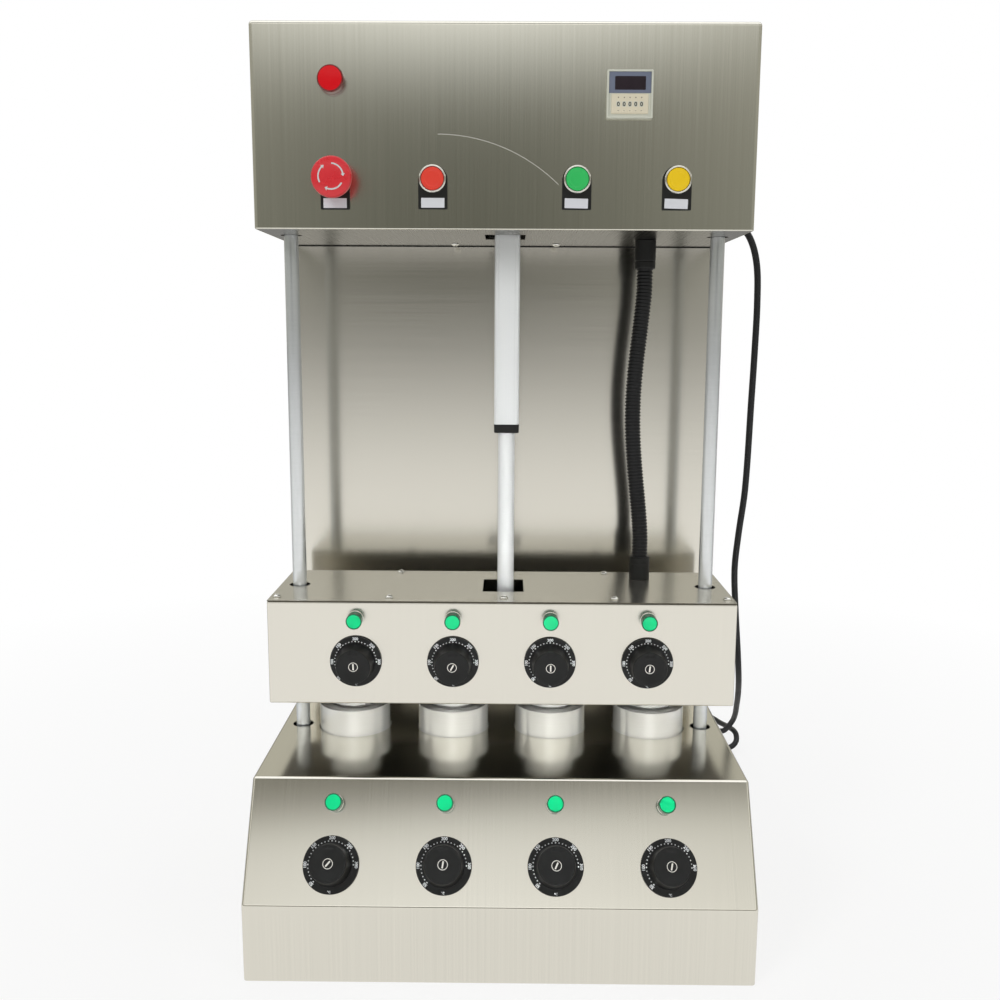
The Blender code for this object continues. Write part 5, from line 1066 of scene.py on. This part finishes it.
def make_timer():
    """Panel timer: raised bezel, smoked face with a dark display, and a block of five thumbwheels with their keys. The
    bezel's corners are bent by more than its inset, so that no corner turns inside out."""
    make = maker((126.7, HEAD_Y, 890.7))
    square = lambda inset: rectangle(23.4, 23.6, max(1.4, inset + 0.1), inset)
    bezel = stacked(square, [(0, 0.3), (0, 5.2), (0.3, 5.8), (0.8, 6.0), (1.7, 6.0), (2.0, 5.8), (2.1, 4.6)])
    body = plate(44.5, 44.5, -76, 0.3, 1.5, 0.1)
    make("timer_bezel", joined(bezel, body), cream_plastic, "frame", "cream_plastic", "timer")
    make("timer_face", plate(42.6, 20.6, 4.3, 5.0, 0.4, 0.2, (0, 11.2)), face_blue)
    make("timer_display", plate(31.0, 13.2, 4.4, 5.25, 0.8, 0.25, (0.2, 10.6)), display_dark)
    block = [plate(37.4, 19.4, 4.3, 5.7, 0.8, 0.4, (0, -9.6))]
    windows, digits = [], []
    for x in [(column - 2) * 5.85 for column in range(5)]:
        windows.append(plate(3.9, 5.2, 5.5, 5.78, 0.3, 0.08, (x, -9.9)))
        digits.append(put(glyphs("0", 4.4), (x, -9.9, 5.82)))
        for y, marks in ((-3.6, ((1.5, 0.35), (0.35, 1.5))), (-16.4, ((1.5, 0.35),))):
            block.append(plate(4.6, 3.4, 5.5, 5.95, 0.9, 0.3, (x, y)))
            digits += [plate(width, height, 5.9, 5.99, 0.1, 0.02, (x, y)) for width, height in marks]
    make("timer_block", joined(*block), key_cream, "frame", "cream_plastic")
    make("timer_windows", joined(*windows), cream_plastic)
    make("timer_digits", joined(*digits), ink_dark)


make_dials()
make_signal_lamps()
make_pilot_lamp()
make_push_buttons()
make_stop_button()
make_timer()


# ---- ribbed hose


def hose_line(z):
    """Bowed centre line: it eases from the lower to the upper fitting, less 11.2 mm times sine to the power 1.5."""
    bottom, top = 388.0 + 18, 725.0 - 18
    share = np.clip((z - bottom) / (top - bottom), 0, 1)
    ease = share**2 * (3 - 2 * share)
    x = HOSE_LOW_X - (HOSE_LOW_X - HOSE_TOP_X) * ease - 11.2 * np.sin(math.pi * share) ** 1.5
    return np.stack([x, np.full_like(z, HOSE_Y), z], axis=1)


def make_hose():
    """Ribbed hose: radius 8.85 + 0.55 tanh(2.6 cos) along its length gives crests and valleys 3.9 mm apart."""
    bottom, top = 388.3, 724.7
    ribs = round((top - bottom) / 3.9)
    z = np.linspace(bottom, top, ribs * 10 + 1)
    wave = np.cos((z - bottom) / (top - bottom) * ribs * 2 * math.pi)
    radii = 8.85 + 0.55 * np.tanh(2.6 * wave) / math.tanh(2.6)
    hose = piece("ribbed_hose", tube(hose_line(z), radii, 36), hose_black, "frame", "hose_black", "conduit_hose")
    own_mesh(hose)
    upper = [
        (9.1, 725), (11.2, 725), (11.9, 726.4), (11.9, 733), (11.4, 733.8), (12, 734.6), (12, 757), (9, 757),
        (9, 759.1), (13, 759.1), (13, 764.1), (9, 764.1), (9, 767.1), (0, 767.1),
    ]
    lower = [
        (0, 351.2), (9, 351.2), (9, 354.2), (13, 354.2), (13, 359.2), (9, 359.2), (9, 361.3), (12, 361.3), (12, 379.2),
        (11.4, 380), (11.9, 380.8), (11.9, 386.8), (11.2, 388), (9.1, 388),
    ]
    for side, node, profile, low, high, x, body in (
        ("upper", "hose_top_fitting", upper, 736, 755, HOSE_TOP_X, "frame"),
        ("lower", "hose_bottom_fitting", lower, 363, 377, HOSE_LOW_X, "carriage"),
    ):
        grip = lambda angle, height: np.where(
            (height > low) & (height < high), -0.45 * np.abs(np.sin(12 * angle)) ** 0.5, 0
        )
        shape = put(turned(profile, 96, 0.3, grip), (x, HOSE_Y, 0))
        piece(f"hose_socket_{side}", shape, matt_black, body, "black_plastic", node)


make_hose()


# ---- carried-over solids

steel_nodes = ("base_floor_plate", "punch_plate", "top_crosshead", "lower_thermostats", "upper_thermostats")
for node, finish in (*((node, plain_steel) for node in steel_nodes), ("actuator_motor", matt_black)):
    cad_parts[node].data.materials.clear()
    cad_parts[node].data.materials.append(finish)


# ---- floor, world and lamps


def make_stage():
    """White floor with the object's faint shadow near it; mirrors see it dim slightly with distance, and darker near
    the machine and behind it, a painted shadow of the machine.
    """
    made, tree, shader = begin("floor_paper_white", Roughness=0.9, Base_Color=linear("#f6f6f4"))
    seen = add(tree, "LightPath").outputs
    place = add(tree, "TexCoord").outputs["Object"]
    away = add(tree, "VectorMath", {0: place}, operation="LENGTH").outputs["Value"]
    clear = ranged(tree, away, 0.4, 1.6, 0.8, 1.0)
    amount = calc(tree, "MULTIPLY", seen["Is Camera Ray"], clear)
    white = add(tree, "Emission", {"Color": (1, 1, 1, 1), "Strength": 1.0})
    direct = add(tree, "MixShader", {0: amount, 1: shader.outputs[0], 2: white.outputs[0]})
    decades = calc(tree, "LOGARITHM", away, 10.0)
    fade = ranged(tree, decades, 0.5, 1.6, 1.0, 0.2)
    # Mirrors see the floor darker near the machine and behind it: painted shadow of the machine
    near = ranged(tree, away, 0.25, 0.8, 0.92, 1.0)
    rear = ranged(tree, add(tree, "SeparateXYZ", {0: place}).outputs["Y"], -0.16)
    painted_floor_shadow = calc(tree, "MULTIPLY", near, ranged(tree, rear, 0.0, 0.2, 1.0, 0.55))
    mirrored = add(tree, "Emission", {"Color": linear("#fdfcf9"), "Strength": calc(tree, "MULTIPLY", fade, painted_floor_shadow)})
    mix = add(tree, "MixShader", {0: seen["Is Glossy Ray"], 1: direct.outputs[0], 2: mirrored.outputs[0]})
    feed(tree, tree.nodes["Material Output"], Surface=mix.outputs[0])
    mesh = bpy.data.meshes.new("floor")
    mesh.from_pydata([(x, y, -0.0003) for x, y in ((-40, -40), (40, -40), (40, 40), (-40, 40))], [], [(0, 1, 2, 3)])
    mesh.materials.append(made)
    floor = linked("floor", mesh)


def tones(tree, amount, stops):
    """Colour ramp through (position, colour) stops."""
    node = add(tree, "ValToRGB", {0: amount})
    band = node.color_ramp
    while len(band.elements) < len(stops):
        band.elements.new(0.5)
    for element, (position, code) in zip(band.elements, stops):
        element.position = position
        element.color = linear(code)
    return node.outputs[0]


def make_world():
    """Studio round the object: plain soft light. Mirrors see a room that is dim at eye level, bright above that, dim
    again and bright overhead, milder to both sides and grey behind; the camera sees white."""
    world = bpy.data.worlds.new("studio")
    bpy.context.scene.world = world
    world.use_nodes = True
    tree = world.node_tree
    tree.nodes.clear()
    x, y, z = add(tree, "SeparateXYZ", {0: add(tree, "TexCoord").outputs["Generated"]}).outputs
    ahead = (
        (0.0, "#57564d"), (0.05, "#56564d"), (0.11, "#56574e"), (0.16, "#5d5e56"), (0.186, "#66675f"),
        (0.203, "#757670"), (0.219, "#989994"), (0.232, "#b2b3af"), (0.244, "#cdcfcc"), (0.264, "#f4f4f1"),
        (0.30, "#fdfdfa"), (0.571, "#fcfcf9"), (0.582, "#efefeb"), (0.591, "#a09f97"), (0.598, "#6e6c63"),
        (0.72, "#6e6d65"), (0.84, "#ffffff"),
    )
    aside = (
        (0.0, "#94938a"), (0.11, "#9d9d93"), (0.16, "#a1a096"), (0.20, "#a7a69c"), (0.23, "#a6a59b"),
        (0.28, "#b0afa7"), (0.31, "#d6d5ce"), (0.565, "#efeee9"), (0.577, "#e2e1da"), (0.592, "#a4a298"),
        (0.602, "#8b897f"), (0.72, "#8b8a82"), (0.84, "#ffffff"),
    )
    beams = (
        (0.0, "#dddddd"), (0.264, "#dddddd"), (0.30, "#ffffff"), (0.47, "#ffffff"), (0.51, "#dddddd"),
        (0.75, "#dddddd"), (0.92, "#ffffff"),
    )
    square = calc(tree, "MULTIPLY", x, x)
    lifted = calc(tree, "MULTIPLY_ADD", square, 0.35, calc(tree, "MULTIPLY", x, -0.03))
    height = calc(tree, "MULTIPLY_ADD", lifted, ranged(tree, z, 0.35, 0.5), z)
    side = calc(tree, "ABSOLUTE", calc(tree, "ADD", x, 0.04))
    apart = ranged(tree, side, 0.0, 0.36, interpolation_type="SMOOTHSTEP")
    room = mixed(tree, apart, tones(tree, height, ahead), tones(tree, height, aside))
    behind = ranged(tree, y, 0.0, 0.3)
    behind = calc(tree, "MULTIPLY", behind, ranged(tree, height, 0.5, 0.8, 1.0, 0.0))
    room = mixed(tree, behind, room, linear("#aaa89d"))
    seen = add(tree, "LightPath").outputs
    mirror = calc(tree, "MAXIMUM", seen["Is Glossy Ray"], seen["Is Transmission Ray"])
    fill = add(tree, "Background", {"Color": linear("#f6f7f8"), "Strength": 0.45})
    strength = calc(tree, "MULTIPLY", tones(tree, height, beams), 1.38)
    shown = add(tree, "Background", {"Color": room, "Strength": strength})
    white = add(tree, "Background", {"Color": (1, 1, 1, 1), "Strength": 1.0})
    first = add(tree, "MixShader", {0: mirror, 1: fill.outputs[0], 2: shown.outputs[0]})
    last = add(tree, "MixShader", {0: seen["Is Camera Ray"], 1: first.outputs[0], 2: white.outputs[0]})
    feed(tree, tree.nodes.new("ShaderNodeOutputWorld"), Surface=last.outputs[0])


def make_lamp(name, place, aim, size, power, spread=180):
    """Large soft area lamp, out of sight of mirrors; spread is its beam's width in degrees."""
    data = bpy.data.lights.new(name, "AREA")
    data.shape = "SQUARE"
    data.size = size
    data.energy = power
    data.spread = math.radians(spread)
    lamp = linked(name, data)
    lamp.location = place
    lamp.rotation_mode = "QUATERNION"
    lamp.rotation_quaternion = (Vector(aim) - Vector(place)).to_track_quat("-Z", "Y")
    lamp.visible_glossy = False


make_stage()
make_world()
make_lamp("key_lamp", (-1.7, -2.2, 2.3), (0, 0, 0.45), 1.0, 32)
make_lamp("fill_lamp", (2.1, -2.0, 1.4), (0, 0, 0.45), 1.5, 14)
make_lamp("low_lamp", (0.2, -1.9, 0.35), (0, 0, 0.2), 0.5, 0.8, 26)
make_lamp("top_lamp", (0.1, 0.6, 2.9), (0, 0, 0.4), 1.5, 18)
bpy.context.scene.view_settings.view_transform = "Standard"
